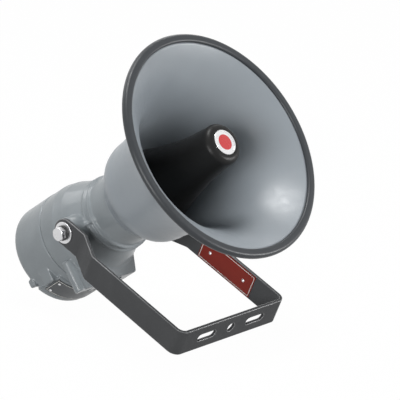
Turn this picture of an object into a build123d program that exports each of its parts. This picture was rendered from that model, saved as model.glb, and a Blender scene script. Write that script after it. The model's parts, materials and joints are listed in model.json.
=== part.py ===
from build123d import *
from math import asin, atan2, cos, degrees, exp, hypot, radians, sin, sqrt
import os

# An explosion-proof horn speaker: a re-entrant horn on a cast, sealed driver housing,
# carried between the arms of a swivel bracket that is folded from one steel strap.
# Everything is first built about the pivot: X along the pivot bolts, -Y along the horn
# to its mouth and Z up from the speaker's top. It is then laid down as it rests on a
# table, on the housing's rear edge and the lower edge of the bracket's bar.

# Horn
BELL_DIAMETER = 267.0
BELL_REACH = 205.5
BELL_DEPTH = 151.5
BELL_WALL = 3.0
BELL_WAIST_RADIUS = 56.5
FLARE_LENGTH = 46.0
BOWL_START = 112.0
BELL_FLANGE_THICKNESS = 5.0
BELL_CREASE_RADIUS = 50.0
BELL_BAND_LENGTH = 14.5
BELL_FLANGE_RADIUS = 43.0
BELL_POINT_SPREAD = 1.5
BOWL_FLOOR_SLOPE = 0.2
LIP_WIDTH = 7.0
BELL_SCREWS = 4
BELL_SCREW_CIRCLE = 36.0
BELL_SCREW_RADIUS = 2.5
BELL_SCREW_GRIP = 10.0

# Screws in general, as shares of the shank's radius
SCREW_HEAD_SHARE = 1.8
SCREW_HEAD_HEIGHT_SHARE = 1.4
SCREW_CLOCKING = 45.0
HOLE_RELIEF = 1.0

# Rubber edge trim on the bell
TRIM_WIDTH = 10.5
TRIM_WALL = 3.2
TRIM_ROUND = 4.2
TRIM_REAR_STEP = 1.2
TRIM_FRONT_ROUND = 2.9
TRIM_REAR_ROUND = 1.6

# Re-entrant cone in the bell
CONE_PROUD = 9.5
CONE_NOSE_RADIUS = 24.5
CONE_NOSE_ROUND = 8.0
CONE_LENGTH = 114.5
CONE_MOUTH_RADIUS = 43.5
CONE_SWELL_POWER = 1.8
CONE_WALL = 2.5
CONE_NOSE_WALL = 7.0
BADGE_RADIUS = 14.7
BADGE_THICKNESS = 1.6
BADGE_RECESS = 1.0
BADGE_EDGE_ROUND = 0.5
NOSE_BOLT_RADIUS = 3.0
NOSE_BOLT_HEAD_RADIUS = 5.5
NOSE_BOLT_HEAD_HEIGHT = 3.0
NOSE_BOLT_LENGTH = 22.0

# Throat tube and its flame arrestor
THROAT_RADIUS = 9.5
TUBE_MOUTH_RADIUS = 19.0
TUBE_WALL = 2.5
TUBE_MOUTH_GAP = 40.0
TUBE_FLANGE_RADIUS = 28.0
TUBE_FLANGE_THICKNESS = 6.0
TUBE_COLLAR_RADIUS = 17.0
TUBE_SCREWS = 4
TUBE_SCREW_CIRCLE = 22.0
TUBE_SCREW_RADIUS = 2.0
TUBE_SCREW_GRIP = 7.0
ARRESTOR_RADIUS = 13.0
ARRESTOR_THICKNESS = 4.0
SPIDER_HUB_RADIUS = 6.0
SPIDER_ARM_WIDTH = 4.0
SPIDER_ARM_DEPTH = 10.0
SPIDER_RIM_DEPTH = 4.0
SPIDER_ARMS = 3

# Front housing
NECK_RADIUS = 41.2
NECK_BORE = 30.0
BEAD_RADIUS = 45.2
BEAD_WIDTH = 5.0
GROOVE_RADIUS = 42.4
GROOVE_WIDTH = 2.5
GROOVE_BEHIND_LIP = 33.0
SHOULDER_FRONT = (45.7, -10.5)
SHOULDER_REAR = (52.9, 10.5)
BAND_REAR = (56.2, 23.5)
SHOULDER_SLOPE = 0.9
BAND_SLOPE = 0.45
BARREL_SLOPE = 0.2
CREST_SLOPE = 0.08
HOUSING_RADIUS = 57.0
HOUSING_BORE = 46.0
HOUSING_REAR = 47.0
BULKHEAD_REAR = -8.0
BULKHEAD_THICKNESS = 12.0

# Pivot bosses, their webs, the conduit block and the lug beside the near arm
BOSS_RADIUS = 16.0
BOSS_SPAN = 125.6
BOSS_EDGE_ROUND = 1.5
WEB_TOP = 1.0
WEB_HEIGHT = 4.0
WEB_REACH = 9.6
WEB_PROUD = 0.4
WEB_KNEE = -20.0
FOOT_DROP = 63.6
FOOT_ROOT = 26.0
BLOCK_HALF_WIDTH = 28.7
BLOCK_FRONT = 16.0
BLOCK_REAR = 46.0
BLOCK_LEAN = 0.45
BLOCK_ROUND = 2.5
LUG_PLACE = 50.5
LUG_BEHIND_PIVOT = 32.0
LUG_RADIUS = 6.6
LUG_WEB = 10.0
LUG_TOP_ROUND = 3.5
CONDUIT_BEHIND_PIVOT = 31.0
CONDUIT_RADIUS = 12.6
CONDUIT_DEPTH = 15.0
CABLE_HOLE_RADIUS = 6.0
CABLE_HOLE_FORWARD = 6.4

# Rear cover
COVER_RADIUS = 57.5
COVER_LENGTH = 52.5
COVER_WALL = 7.0
COVER_ROUND = 9.0
COVER_THREAD_RADIUS = 45.9
COVER_THREAD_LENGTH = 14.0
COVER_BORE = 40.0
COVER_SEAM_CHAMFER = 1.0
FACE_STEP = 4.0
PAD_RADIUS = 60.5
PAD_ANGLE = 53.5
PAD_MARGIN = 8.0
SEAL_SECTION = 1.8
SEAL_INSET = 2.5
GRIP_FRONT = 14.0
GRIP_WIDTH = 17.0
GRIP_HALF_SPAN = 54.5
GRIP_ROOT = 34.0
GRIP_TOP = 15.0
GRIP_FOOT = 37.0
GRIP_ROUND = 2.0
END_GRIP_WIDTH = 9.0
END_GRIP_TOP = 21.0
END_GRIP_FOOT = 31.0

# Compression driver
DRIVER_RADIUS = 40.0
GASKET_THICKNESS = 1.0
CAP_THICKNESS = 10.0
CHAMBER_RADIUS = 24.0
CHAMBER_DEPTH = 3.0
PLUG_THROAT_RADIUS = 16.0
PLUG_RADIUS = 12.0
PLUG_TIP_RADIUS = 1.5
PLUG_TIP_STEP = 1.0
PLUG_RIM = 1.4
PLUG_FIN_DEPTH = 3.0
PLUG_FIN_WIDTH = 2.0
DIAPHRAGM_RADIUS = 22.0
DIAPHRAGM_THICKNESS = 0.5
DOME_HEIGHT = 5.0
SURROUND_GAP = 0.4
SURROUND_THICKNESS = 0.5
CLAMP_THICKNESS = 2.0
COIL_RADIUS = 19.0
COIL_WALL = 0.8
COIL_LENGTH = 8.0
POLE_GAP = 0.6
POLE_CLEARANCE = 1.2
TOP_PLATE_THICKNESS = 6.0
MAGNET_OUTER = 31.0
MAGNET_INNER = 24.0
MAGNET_THICKNESS = 12.0
BACK_PLATE_THICKNESS = 5.0
DRIVER_SCREWS = 4
DRIVER_SCREW_CIRCLE = 35.5
DRIVER_SCREW_RADIUS = 2.0
DRIVER_SCREW_HEAD_RADIUS = 3.5
DRIVER_SCREW_HEAD_HEIGHT = 4.0
DRIVER_SCREW_GRIP = 7.0
DRIVER_HOLE_FIT = 0.2

# Transformer and terminals on their chassis plate
STANDOFF_COUNT = 3
STANDOFF_RADIUS = 3.0
STANDOFF_CIRCLE = 24.0
STANDOFF_LENGTH = 5.0
CHASSIS_RADIUS = 38.0
CHASSIS_THICKNESS = 2.0
CORE_WIDTH = 42.0
CORE_HEIGHT = 34.0
CORE_DEPTH = 16.0
WINDING_WIDTH = 22.0
WINDING_DEPTH = 26.0
WINDING_BUILD = 6.0
CORE_LEG = 7.0
TRANSFORMER_RISE = 9.0
CLAMP_FOOT = 7.0
CLAMP_WALL = 1.5
CLAMP_WIDTH = 17.0
WINDING_ROUND = 3.6
TERMINAL_WIDTH = 36.0
TERMINAL_HEIGHT = 12.0
TERMINAL_DEPTH = 12.0
TERMINAL_DROP = 27.0
TERMINAL_STEP = 4.0
TERMINAL_BARRIER = 2.0
TERMINAL_COUNT = 4
TERMINAL_SCREW_RADIUS = 2.2
TERMINAL_SCREW_HEIGHT = 1.6

# Rating plate
PLATE_THICKNESS = 0.8
PLATE_LENGTH = 27.0
PLATE_ANGLE = 51.5
PLATE_MARGIN = 3.5
PLATE_SCREW_RADIUS = 1.6
PLATE_SHANK_RADIUS = 0.9
PLATE_SCREW_HEIGHT = 1.0
PLATE_SCREW_INSET = 5.0

# Swivel bracket
STRAP_WIDTH = 31.0
STRAP_THICKNESS = 4.0
ARM_LENGTH = 207.0
BRACKET_HALF_WIDTH = 87.9
JOGGLE_START = 26.5
JOGGLE_END = 61.5
JOGGLE_BEND = 8.0
CORNER_BEND = 9.0
SLOT_SPACING = 81.4
SLOT_LENGTH = 30.0
SLOT_WIDTH = 9.0
MIDDLE_HOLE_RADIUS = 5.5

# Pivot bolts and washers
PIVOT_BOLT_RADIUS = 4.75
BOLT_HEAD_WIDTH = 14.3
BOLT_HEAD_HEIGHT = 6.4
BOLT_CHAMFER = 0.8
FLAT_WASHER_RADIUS = 12.4
FLAT_WASHER_THICKNESS = 2.0
LOCK_WASHER_RADIUS = 8.6
LOCK_WASHER_THICKNESS = 2.6
LOCK_WASHER_SPLIT = 1.6
LOCK_WASHER_SKEW = 20.0
BOLT_GRIP = 11.0

# Label plate on the far arm
LABEL_LENGTH = 83.0
LABEL_WIDTH = 28.0
LABEL_THICKNESS = 0.8
LABEL_CENTRE = 121.5
LABEL_RIVET_SPACING = 54.0
LABEL_RIVET_RADIUS = 2.0
LABEL_RIVET_HEIGHT = 0.9
LABEL_CORNER = 1.0
LABEL_RIVET_ROUND = 0.5

# Clearances
FIT = 0.05
RUNNING = 0.08
FACE_GAP = 0.1
THREAD_FIT = 0.05

# How it lies
HORN_ELEVATION = 34.0

BELL_EDGE_RADIUS = BELL_DIAMETER / 2 - TRIM_WALL
BELL_LIP_RADIUS = BELL_EDGE_RADIUS - LIP_WIDTH
MOUTH_Y = -BELL_REACH
LIP_Y = MOUTH_Y + BELL_DEPTH
NECK_FRONT = LIP_Y + GASKET_THICKNESS
CONE_FRONT = MOUTH_Y - CONE_PROUD
TUBE_MOUTH_Y = CONE_FRONT + CONE_NOSE_WALL + TUBE_MOUTH_GAP
COVER_END = HOUSING_REAR + COVER_LENGTH
PLATE_FRONT = HOUSING_REAR + PAD_MARGIN + PLATE_MARGIN
PLATE_SEAT = PAD_RADIUS + FACE_GAP
BULKHEAD_FRONT = BULKHEAD_REAR - BULKHEAD_THICKNESS


def turned(face):
    """Revolve a face drawn with radius as X and station as Y about the horn axis."""
    return revolve(face, Axis.Y, 360)


def ring(inner, outer, front, rear):
    """A plain turned ring between two stations."""
    width = outer - inner
    length = rear - front
    section = Pos((inner + outer) / 2, (front + rear) / 2) * Rectangle(width, length)
    return turned(section)


def disc(radius, front, rear):
    """A plain turned disc between two stations."""
    return ring(0, radius, front, rear)


def closed_face(*edges):
    """The face inside edges that meet end to end."""
    return make_face(Wire(edges))


def along_x(radius, start, length):
    """A cylinder along X from its start."""
    middle = start + length / 2
    return Pos(middle, 0, 0) * Rot(0, 90, 0) * Cylinder(radius, abs(length))


def around(count, radius, start_angle=0.0):
    """Places on a circle about the horn axis."""
    step = 360 / count
    for number in range(count):
        angle = radians(start_angle + number * step)
        yield radius * cos(angle), radius * sin(angle)


def post(radius, x, z, front, rear):
    """A cylinder along Y at one place, from front to rear."""
    return Pos(x, (front + rear) / 2, z) * Rot(90, 0, 0) * Cylinder(radius, rear - front)


def inward(radius, station, slope, inset):
    """A point moved off a turned wall towards the axis, along the wall's normal."""
    length = hypot(1, slope)
    return radius - inset / length, station + inset * slope / length


def bell_points(inset, count=7):
    """Points down the bell's exponential flare, from its lip to its bowl."""
    swell = BELL_LIP_RADIUS - BELL_WAIST_RADIUS
    points = []
    for number in range(count):
        depth = BOWL_START * (number / (count - 1)) ** BELL_POINT_SPREAD
        rise = swell * exp(-depth / FLARE_LENGTH)
        points.append(inward(BELL_WAIST_RADIUS + rise, MOUTH_Y + depth,
                             -rise / FLARE_LENGTH, inset))
    return points


def cone_points(inset, count=6):
    """Points down the cone's flank, from the nose to its open rear edge."""
    length = CONE_LENGTH - CONE_NOSE_ROUND
    swell = CONE_MOUTH_RADIUS - CONE_NOSE_RADIUS
    points = []
    for number in range(count):
        share = number / (count - 1)
        slope = CONE_SWELL_POWER * swell / length * share ** (CONE_SWELL_POWER - 1)
        points.append(inward(CONE_NOSE_RADIUS + swell * share ** CONE_SWELL_POWER,
                             CONE_FRONT + CONE_NOSE_ROUND + length * share, slope, inset))
    return points


def make_bell():
    outer = bell_points(0)
    inner = bell_points(BELL_WALL)
    mouth_slope = -(BELL_LIP_RADIUS - BELL_WAIST_RADIUS) / FLARE_LENGTH
    waist_slope = mouth_slope * exp(-BOWL_START / FLARE_LENGTH)
    tangents = ((mouth_slope, 1), (waist_slope, 1))
    outer_flare = Spline(outer, tangents=tangents)
    inner_flare = Spline(inner, tangents=tangents)
    crease = (BELL_CREASE_RADIUS, LIP_Y - BELL_BAND_LENGTH)
    outer_bowl = Spline([outer[-1], crease], tangents=((waist_slope, 1), (-1, 1)))
    band = Line(crease, (BELL_FLANGE_RADIUS, LIP_Y))
    bowl_floor = (BELL_FLANGE_RADIUS - BELL_WALL, LIP_Y - BELL_FLANGE_THICKNESS)
    inner_bowl = Spline([inner[-1], bowl_floor], tangents=((waist_slope, 1), (-1, BOWL_FLOOR_SLOPE)))
    port = TUBE_COLLAR_RADIUS + FIT
    profile = closed_face(
        Line((BELL_EDGE_RADIUS, inner[0][1]), inner[0]),
        inner_flare,
        inner_bowl,
        Line(bowl_floor, (port, bowl_floor[1])),
        Line((port, bowl_floor[1]), (port, LIP_Y)),
        Line((port, LIP_Y), (BELL_FLANGE_RADIUS, LIP_Y)),
        band,
        outer_bowl,
        outer_flare,
        Line(outer[0], (BELL_EDGE_RADIUS, outer[0][1])),
        Line((BELL_EDGE_RADIUS, outer[0][1]), (BELL_EDGE_RADIUS, inner[0][1])),
    )
    bell = turned(profile)
    for x, z in around(BELL_SCREWS, BELL_SCREW_CIRCLE, SCREW_CLOCKING):
        bell -= post(BELL_SCREW_RADIUS + FIT, x, z, bowl_floor[1] - BELL_WALL, LIP_Y)
    return bell


def make_rim_trim():
    lip_front = bell_points(BELL_WALL)[0][1]
    front = lip_front - TRIM_WALL
    rear = MOUTH_Y + TRIM_WALL
    outer = BELL_DIAMETER / 2
    inner = outer - TRIM_WIDTH
    rear_inner = BELL_LIP_RADIUS + TRIM_REAR_STEP
    section = make_face(Polyline(
        (inner, lip_front), (inner, front), (outer, front), (outer, rear), (rear_inner, rear),
        (rear_inner, MOUTH_Y), (BELL_EDGE_RADIUS, MOUTH_Y), (BELL_EDGE_RADIUS, lip_front),
        close=True))
    rounds = (((outer, front), TRIM_ROUND), ((outer, rear), TRIM_ROUND),
              ((inner, front), TRIM_FRONT_ROUND), ((rear_inner, rear), TRIM_REAR_ROUND))
    for place, radius in rounds:
        corner = section.vertices().sort_by_distance((place[0], place[1], 0))[0]
        section = fillet(corner, radius)
    return turned(section)


def make_cone():
    outer = cone_points(0)
    inner = cone_points(CONE_WALL)
    swell = CONE_MOUTH_RADIUS - CONE_NOSE_RADIUS
    slope = CONE_SWELL_POWER * swell / (CONE_LENGTH - CONE_NOSE_ROUND)
    tangents = ((0, 1), (slope, 1))
    flat = CONE_NOSE_RADIUS - CONE_NOSE_ROUND
    seat = CONE_FRONT + CONE_NOSE_WALL
    profile = closed_face(
        Line((0, CONE_FRONT), (flat, CONE_FRONT)),
        TangentArc((flat, CONE_FRONT), outer[0], tangent=(1, 0)),
        Spline(outer, tangents=tangents),
        Line(outer[-1], inner[-1]),
        Spline(inner, tangents=tangents),
        Line(inner[0], (inner[0][0], seat)),
        Line((inner[0][0], seat), (0, seat)),
        Line((0, seat), (0, CONE_FRONT)),
    )
    cone = turned(profile)
    cone -= disc(BADGE_RADIUS + FIT, CONE_FRONT, CONE_FRONT + BADGE_RECESS)
    head_seat = CONE_FRONT + BADGE_RECESS + NOSE_BOLT_HEAD_HEIGHT
    cone -= disc(NOSE_BOLT_HEAD_RADIUS + FIT, CONE_FRONT, head_seat)
    cone -= disc(NOSE_BOLT_RADIUS + FIT, CONE_FRONT, seat)
    return cone


def make_nose_badge():
    seat = CONE_FRONT + BADGE_RECESS
    badge = disc(BADGE_RADIUS, seat - BADGE_THICKNESS, seat)
    return fillet(badge.edges().group_by(Axis.Y)[0], BADGE_EDGE_ROUND)


def make_nose_bolt():
    front = CONE_FRONT + BADGE_RECESS
    head = disc(NOSE_BOLT_HEAD_RADIUS, front, front + NOSE_BOLT_HEAD_HEIGHT)
    return head + disc(NOSE_BOLT_RADIUS, front, front + NOSE_BOLT_LENGTH)


def make_spider():
    seat = CONE_FRONT + CONE_NOSE_WALL
    hub = disc(SPIDER_HUB_RADIUS, seat, TUBE_MOUTH_Y)
    rim_inner = TUBE_MOUTH_RADIUS
    rim_outer = TUBE_MOUTH_RADIUS + TUBE_WALL
    rim = ring(rim_inner, rim_outer, TUBE_MOUTH_Y - SPIDER_RIM_DEPTH, TUBE_MOUTH_Y)
    spider = hub + rim
    reach = (rim_inner + rim_outer) / 2
    arm = Pos(reach / 2, TUBE_MOUTH_Y - SPIDER_ARM_DEPTH / 2) * Box(
        reach, SPIDER_ARM_DEPTH, SPIDER_ARM_WIDTH)
    for number in range(SPIDER_ARMS):
        spider += Rot(0, number * 360 / SPIDER_ARMS, 0) * arm
    front = CONE_FRONT + BADGE_RECESS
    return spider - disc(NOSE_BOLT_RADIUS + FIT, front, front + NOSE_BOLT_LENGTH + HOLE_RELIEF)


def make_throat_tube():
    base = BULKHEAD_FRONT
    flange_front = base - TUBE_FLANGE_THICKNESS
    collar_front = LIP_Y - BELL_FLANGE_THICKNESS - TUBE_WALL
    collar_rear = LIP_Y + TUBE_WALL
    root = THROAT_RADIUS + 2 * TUBE_WALL
    profile = make_face(Polyline(
        (THROAT_RADIUS, base), (TUBE_MOUTH_RADIUS, TUBE_MOUTH_Y),
        (TUBE_MOUTH_RADIUS + TUBE_WALL, TUBE_MOUTH_Y), (root, collar_front),
        (TUBE_COLLAR_RADIUS, collar_front), (TUBE_COLLAR_RADIUS, collar_rear),
        (root, collar_rear), (root, flange_front), (TUBE_FLANGE_RADIUS, flange_front),
        (TUBE_FLANGE_RADIUS, base), close=True))
    tube = turned(profile)
    tube -= disc(ARRESTOR_RADIUS + FIT, base - ARRESTOR_THICKNESS, base)
    for x, z in around(TUBE_SCREWS, TUBE_SCREW_CIRCLE, SCREW_CLOCKING):
        tube -= post(TUBE_SCREW_RADIUS + FIT, x, z, flange_front, base)
    return tube


def make_flame_arrestor():
    return disc(ARRESTOR_RADIUS, BULKHEAD_FRONT - ARRESTOR_THICKNESS, BULKHEAD_FRONT)


def screw_group(count, circle, radius, seat, tip):
    """Pan head screws on a circle, entering rearwards from a seat in front."""
    head_radius = SCREW_HEAD_SHARE * radius
    head_height = SCREW_HEAD_HEIGHT_SHARE * radius
    screws = []
    for x, z in around(count, circle, SCREW_CLOCKING):
        head = post(head_radius, x, z, seat - head_height, seat)
        screws.append(head + post(radius, x, z, seat - head_height / 2, tip))
    return Compound(children=screws)


def make_tube_screws():
    seat = BULKHEAD_FRONT - TUBE_FLANGE_THICKNESS
    return screw_group(TUBE_SCREWS, TUBE_SCREW_CIRCLE, TUBE_SCREW_RADIUS, seat,
                       BULKHEAD_FRONT + TUBE_SCREW_GRIP)


def make_bell_screws():
    seat = LIP_Y - BELL_FLANGE_THICKNESS
    return screw_group(BELL_SCREWS, BELL_SCREW_CIRCLE, BELL_SCREW_RADIUS, seat,
                       NECK_FRONT + BELL_SCREW_GRIP)


def make_bell_gasket():
    gasket = ring(NECK_BORE, NECK_RADIUS, LIP_Y, NECK_FRONT)
    for x, z in around(BELL_SCREWS, BELL_SCREW_CIRCLE, SCREW_CLOCKING):
        gasket -= post(BELL_SCREW_RADIUS + FIT, x, z, LIP_Y, NECK_FRONT)
    return gasket


def housing_outline():
    """The front housing's turned outside: neck, twin beads, stepped shoulder and barrel."""
    groove = LIP_Y + GROOVE_BEHIND_LIP
    front_groove = groove - GROOVE_WIDTH / 2
    rear_groove = groove + GROOVE_WIDTH / 2
    bead_front = front_groove - BEAD_WIDTH
    bead_rear = rear_groove + BEAD_WIDTH
    crest = BEAD_WIDTH / 2
    bead_root = (GROOVE_RADIUS + BEAD_RADIUS) / 2
    return closed_face(
        Line((0, NECK_FRONT), (NECK_RADIUS, NECK_FRONT)),
        Line((NECK_RADIUS, NECK_FRONT), (bead_root, bead_front)),
        ThreePointArc((bead_root, bead_front), (BEAD_RADIUS, bead_front + crest),
                      (GROOVE_RADIUS, front_groove)),
        Line((GROOVE_RADIUS, front_groove), (GROOVE_RADIUS, rear_groove)),
        ThreePointArc((GROOVE_RADIUS, rear_groove), (BEAD_RADIUS, bead_rear - crest),
                      (BEAD_RADIUS, bead_rear)),
        Line((BEAD_RADIUS, bead_rear), SHOULDER_FRONT),
        Spline([SHOULDER_FRONT, SHOULDER_REAR], tangents=((SHOULDER_SLOPE, 1), (CREST_SLOPE, 1))),
        Spline([SHOULDER_REAR, BAND_REAR], tangents=((BAND_SLOPE, 1), (CREST_SLOPE, 1))),
        Spline([BAND_REAR, (HOUSING_RADIUS, HOUSING_REAR - COVER_THREAD_LENGTH)],
               tangents=((BARREL_SLOPE, 1), (0, 1))),
        Line((HOUSING_RADIUS, HOUSING_REAR - COVER_THREAD_LENGTH), (HOUSING_RADIUS, HOUSING_REAR)),
        Line((HOUSING_RADIUS, HOUSING_REAR), (0, HOUSING_REAR)),
        Line((0, HOUSING_REAR), (0, NECK_FRONT)),
    )


def pivot_boss(side):
    """The round boss that takes one pivot bolt, with the web to the neck."""
    root = HOUSING_BORE
    boss = along_x(BOSS_RADIUS, root, BOSS_SPAN / 2 - root)
    boss = fillet(boss.edges().group_by(Axis.X)[-1], BOSS_EDGE_ROUND)
    web_front = LIP_Y + GROOVE_BEHIND_LIP - GROOVE_WIDTH - BEAD_WIDTH
    web_tip = BOSS_SPAN / 2 - 2 * BOSS_EDGE_ROUND
    ridge = BEAD_RADIUS + WEB_PROUD
    web = make_face(Polyline((NECK_BORE, web_front), (GROOVE_RADIUS, web_front),
                             (ridge, web_front + GROOVE_WIDTH), (ridge, WEB_KNEE),
                             (web_tip, -WEB_REACH), (web_tip, 0), (NECK_BORE, 0), close=True))
    boss += Pos(0, 0, WEB_TOP - WEB_HEIGHT) * extrude(web, WEB_HEIGHT)
    if side < 0:
        boss = mirror(boss, Plane.YZ)
    return boss


def conduit_block():
    """The block under the barrel for the conduit, its front face leaning forwards."""
    lean = BLOCK_LEAN * (FOOT_DROP - FOOT_ROOT)
    side_view = Plane.YZ * make_face(Polyline(
        (BLOCK_FRONT, -FOOT_DROP), (BLOCK_REAR, -FOOT_DROP), (BLOCK_REAR, -FOOT_ROOT),
        (BLOCK_FRONT - lean, -FOOT_ROOT), close=True))
    block = extrude(side_view, BLOCK_HALF_WIDTH, both=True)
    return fillet(block.edges().filter_by(Axis.X, reverse=True), BLOCK_ROUND)


def near_lug():
    """The round-ended lug under the barrel, beside the near arm."""
    height = FOOT_DROP - FOOT_ROOT
    middle = -(FOOT_ROOT + FOOT_DROP) / 2
    column = Pos(-LUG_PLACE, LUG_BEHIND_PIVOT, middle) * Cylinder(LUG_RADIUS, height)
    column = fillet(column.edges().group_by(Axis.Z)[-1], LUG_TOP_ROUND)
    return column + Pos(-LUG_PLACE / 2, LUG_BEHIND_PIVOT, middle) * Box(LUG_PLACE, LUG_WEB, height)


def make_front_housing():
    housing = turned(housing_outline())
    housing += pivot_boss(1) + pivot_boss(-1)
    housing += conduit_block() + near_lug()
    housing -= disc(NECK_BORE, NECK_FRONT, BULKHEAD_FRONT)
    housing -= disc(THROAT_RADIUS, BULKHEAD_FRONT, BULKHEAD_REAR)
    housing -= disc(HOUSING_BORE, BULKHEAD_REAR, HOUSING_REAR)
    conduit = Pos(0, CONDUIT_BEHIND_PIVOT, -FOOT_DROP + CONDUIT_DEPTH / 2) * Cylinder(
        CONDUIT_RADIUS, CONDUIT_DEPTH)
    cable_station = CONDUIT_BEHIND_PIVOT - CABLE_HOLE_FORWARD
    cable_hole = Pos(0, cable_station, -(FOOT_DROP + HOUSING_BORE / 2) / 2) * Cylinder(
        CABLE_HOLE_RADIUS, FOOT_DROP - HOUSING_BORE / 2)
    housing -= conduit + cable_hole
    for side in (-1, 1):
        hole_end = side * (BOSS_SPAN / 2 - BOLT_GRIP - HOLE_RELIEF)
        housing -= along_x(PIVOT_BOLT_RADIUS + THREAD_FIT, hole_end, side * (BOLT_GRIP + HOLE_RELIEF))
    for x, z in around(BELL_SCREWS, BELL_SCREW_CIRCLE, SCREW_CLOCKING):
        housing -= post(BELL_SCREW_RADIUS + THREAD_FIT, x, z, NECK_FRONT,
                        NECK_FRONT + BELL_SCREW_GRIP + HOLE_RELIEF)
    for x, z in around(TUBE_SCREWS, TUBE_SCREW_CIRCLE, SCREW_CLOCKING):
        housing -= post(TUBE_SCREW_RADIUS + THREAD_FIT, x, z, BULKHEAD_FRONT,
                        BULKHEAD_FRONT + TUBE_SCREW_GRIP + HOLE_RELIEF)
    for x, z in around(DRIVER_SCREWS, DRIVER_SCREW_CIRCLE):
        housing -= post(DRIVER_SCREW_RADIUS + THREAD_FIT, x, z,
                        BULKHEAD_REAR - DRIVER_SCREW_GRIP - HOLE_RELIEF, BULKHEAD_REAR)
    return housing


def make_rear_cover():
    joint = HOUSING_REAR
    thread_front = joint - COVER_THREAD_LENGTH
    floor = COVER_END - COVER_WALL
    chamber = COVER_RADIUS - COVER_WALL
    step = chamber - COVER_BORE
    outline = make_face(Polyline(
        (0, thread_front), (COVER_THREAD_RADIUS, thread_front), (COVER_THREAD_RADIUS, joint),
        (COVER_RADIUS, joint), (COVER_RADIUS, COVER_END), (0, COVER_END), close=True))
    edge = outline.vertices().sort_by_distance((COVER_RADIUS, COVER_END, 0))[0]
    outline = fillet(edge, COVER_ROUND)
    seam = outline.vertices().sort_by_distance((COVER_RADIUS, joint, 0))[0]
    outline = chamfer(seam, COVER_SEAM_CHAMFER)
    cover = turned(outline)
    cover += rating_pad()
    for side in (-1, 1):
        cover += grip(side, GRIP_FRONT, GRIP_WIDTH, GRIP_TOP, GRIP_FOOT)
        end_front = COVER_LENGTH - END_GRIP_WIDTH
        cover += grip(side, end_front, END_GRIP_WIDTH, END_GRIP_TOP, END_GRIP_FOOT)
    cavity = make_face(Polyline(
        (0, thread_front), (COVER_BORE, thread_front), (COVER_BORE, joint + FACE_STEP),
        (chamber, joint + FACE_STEP + step), (chamber, floor), (0, floor), close=True))
    cover -= turned(cavity)
    seal_outer = COVER_THREAD_RADIUS + SEAL_INSET + SEAL_SECTION
    cover -= ring(seal_outer - SEAL_SECTION, seal_outer, joint, joint + SEAL_SECTION)
    return cover


def rating_pad():
    """The raised pad under the cover that carries the rating plate."""
    root = COVER_BORE
    front = HOUSING_REAR + PAD_MARGIN
    section = make_face(Polyline((root, front), (PAD_RADIUS, front), (PAD_RADIUS, COVER_END),
                                 (root, COVER_END), close=True))
    edge = section.vertices().sort_by_distance((PAD_RADIUS, COVER_END, 0))[0]
    section = fillet(edge, COVER_ROUND)
    pad = revolve(section, Axis.Y, 2 * PAD_ANGLE)
    return Rot(0, 90 - PAD_ANGLE, 0) * pad


def grip(side, front, width, top, foot):
    """An upright lug on the cover's flank, for the bar that turns the cover."""
    depth = GRIP_HALF_SPAN - GRIP_ROOT
    middle = Pos(GRIP_ROOT + depth / 2, HOUSING_REAR + front + width / 2, -(top + foot) / 2)
    lug = middle * Box(depth, width, foot - top)
    lug = fillet(lug.edges().filter_by(Axis.Z).group_by(Axis.X)[-1], GRIP_ROUND)
    if side < 0:
        lug = mirror(lug, Plane.YZ)
    return lug


def make_cover_seal():
    outer = COVER_THREAD_RADIUS + SEAL_INSET + SEAL_SECTION
    middle = outer - SEAL_SECTION / 2
    section = Pos(middle, HOUSING_REAR + SEAL_SECTION / 2) * Circle(SEAL_SECTION / 2)
    return turned(section)


GASKET_REAR = BULKHEAD_REAR + GASKET_THICKNESS
CAP_REAR = GASKET_REAR + CAP_THICKNESS
SURROUND_REAR = CAP_REAR + SURROUND_THICKNESS
CLAMP_REAR = SURROUND_REAR + CLAMP_THICKNESS
TOP_PLATE_REAR = CLAMP_REAR + TOP_PLATE_THICKNESS
MAGNET_REAR = TOP_PLATE_REAR + MAGNET_THICKNESS
BACK_PLATE_REAR = MAGNET_REAR + BACK_PLATE_THICKNESS
CHASSIS_FRONT = BACK_PLATE_REAR + STANDOFF_LENGTH
CHASSIS_REAR = CHASSIS_FRONT + CHASSIS_THICKNESS


def layer(inner, outer, front, rear):
    """A ring of the driver's stack, with its clearance holes for the driver screws."""
    shape = ring(inner, outer, front, rear)
    for x, z in around(DRIVER_SCREWS, DRIVER_SCREW_CIRCLE):
        shape -= post(DRIVER_SCREW_RADIUS + DRIVER_HOLE_FIT, x, z, front, rear)
    return shape


def throat_cone(front, rear):
    """The widening throat through the driver's front cap."""
    return turned(make_face(Polyline(
        (0, front), (THROAT_RADIUS, front), (PLUG_THROAT_RADIUS, rear), (0, rear), close=True)))


def make_driver_gasket():
    return layer(THROAT_RADIUS, DRIVER_RADIUS, BULKHEAD_REAR, GASKET_REAR)


def make_driver_cap():
    cap = layer(0, DRIVER_RADIUS, GASKET_REAR, CAP_REAR)
    cap -= throat_cone(GASKET_REAR, CAP_REAR - CHAMBER_DEPTH)
    return cap - disc(CHAMBER_RADIUS, CAP_REAR - CHAMBER_DEPTH, CAP_REAR)


def make_phase_plug():
    rear = CAP_REAR - CHAMBER_DEPTH
    tip = GASKET_REAR + PLUG_TIP_STEP
    plug = turned(make_face(Polyline(
        (0, tip), (PLUG_TIP_RADIUS, tip), (PLUG_RADIUS, rear), (PLUG_RADIUS, rear + PLUG_RIM),
        (0, rear + PLUG_RIM), close=True)))
    fin = Pos(PLUG_THROAT_RADIUS / 2, rear - PLUG_FIN_DEPTH / 2) * Box(
        PLUG_THROAT_RADIUS, PLUG_FIN_DEPTH, PLUG_FIN_WIDTH)
    fins = fin
    for number in range(1, SPIDER_ARMS):
        fins += Rot(0, number * 360 / SPIDER_ARMS, 0) * fin
    return plug + (fins & throat_cone(GASKET_REAR, rear))


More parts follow.
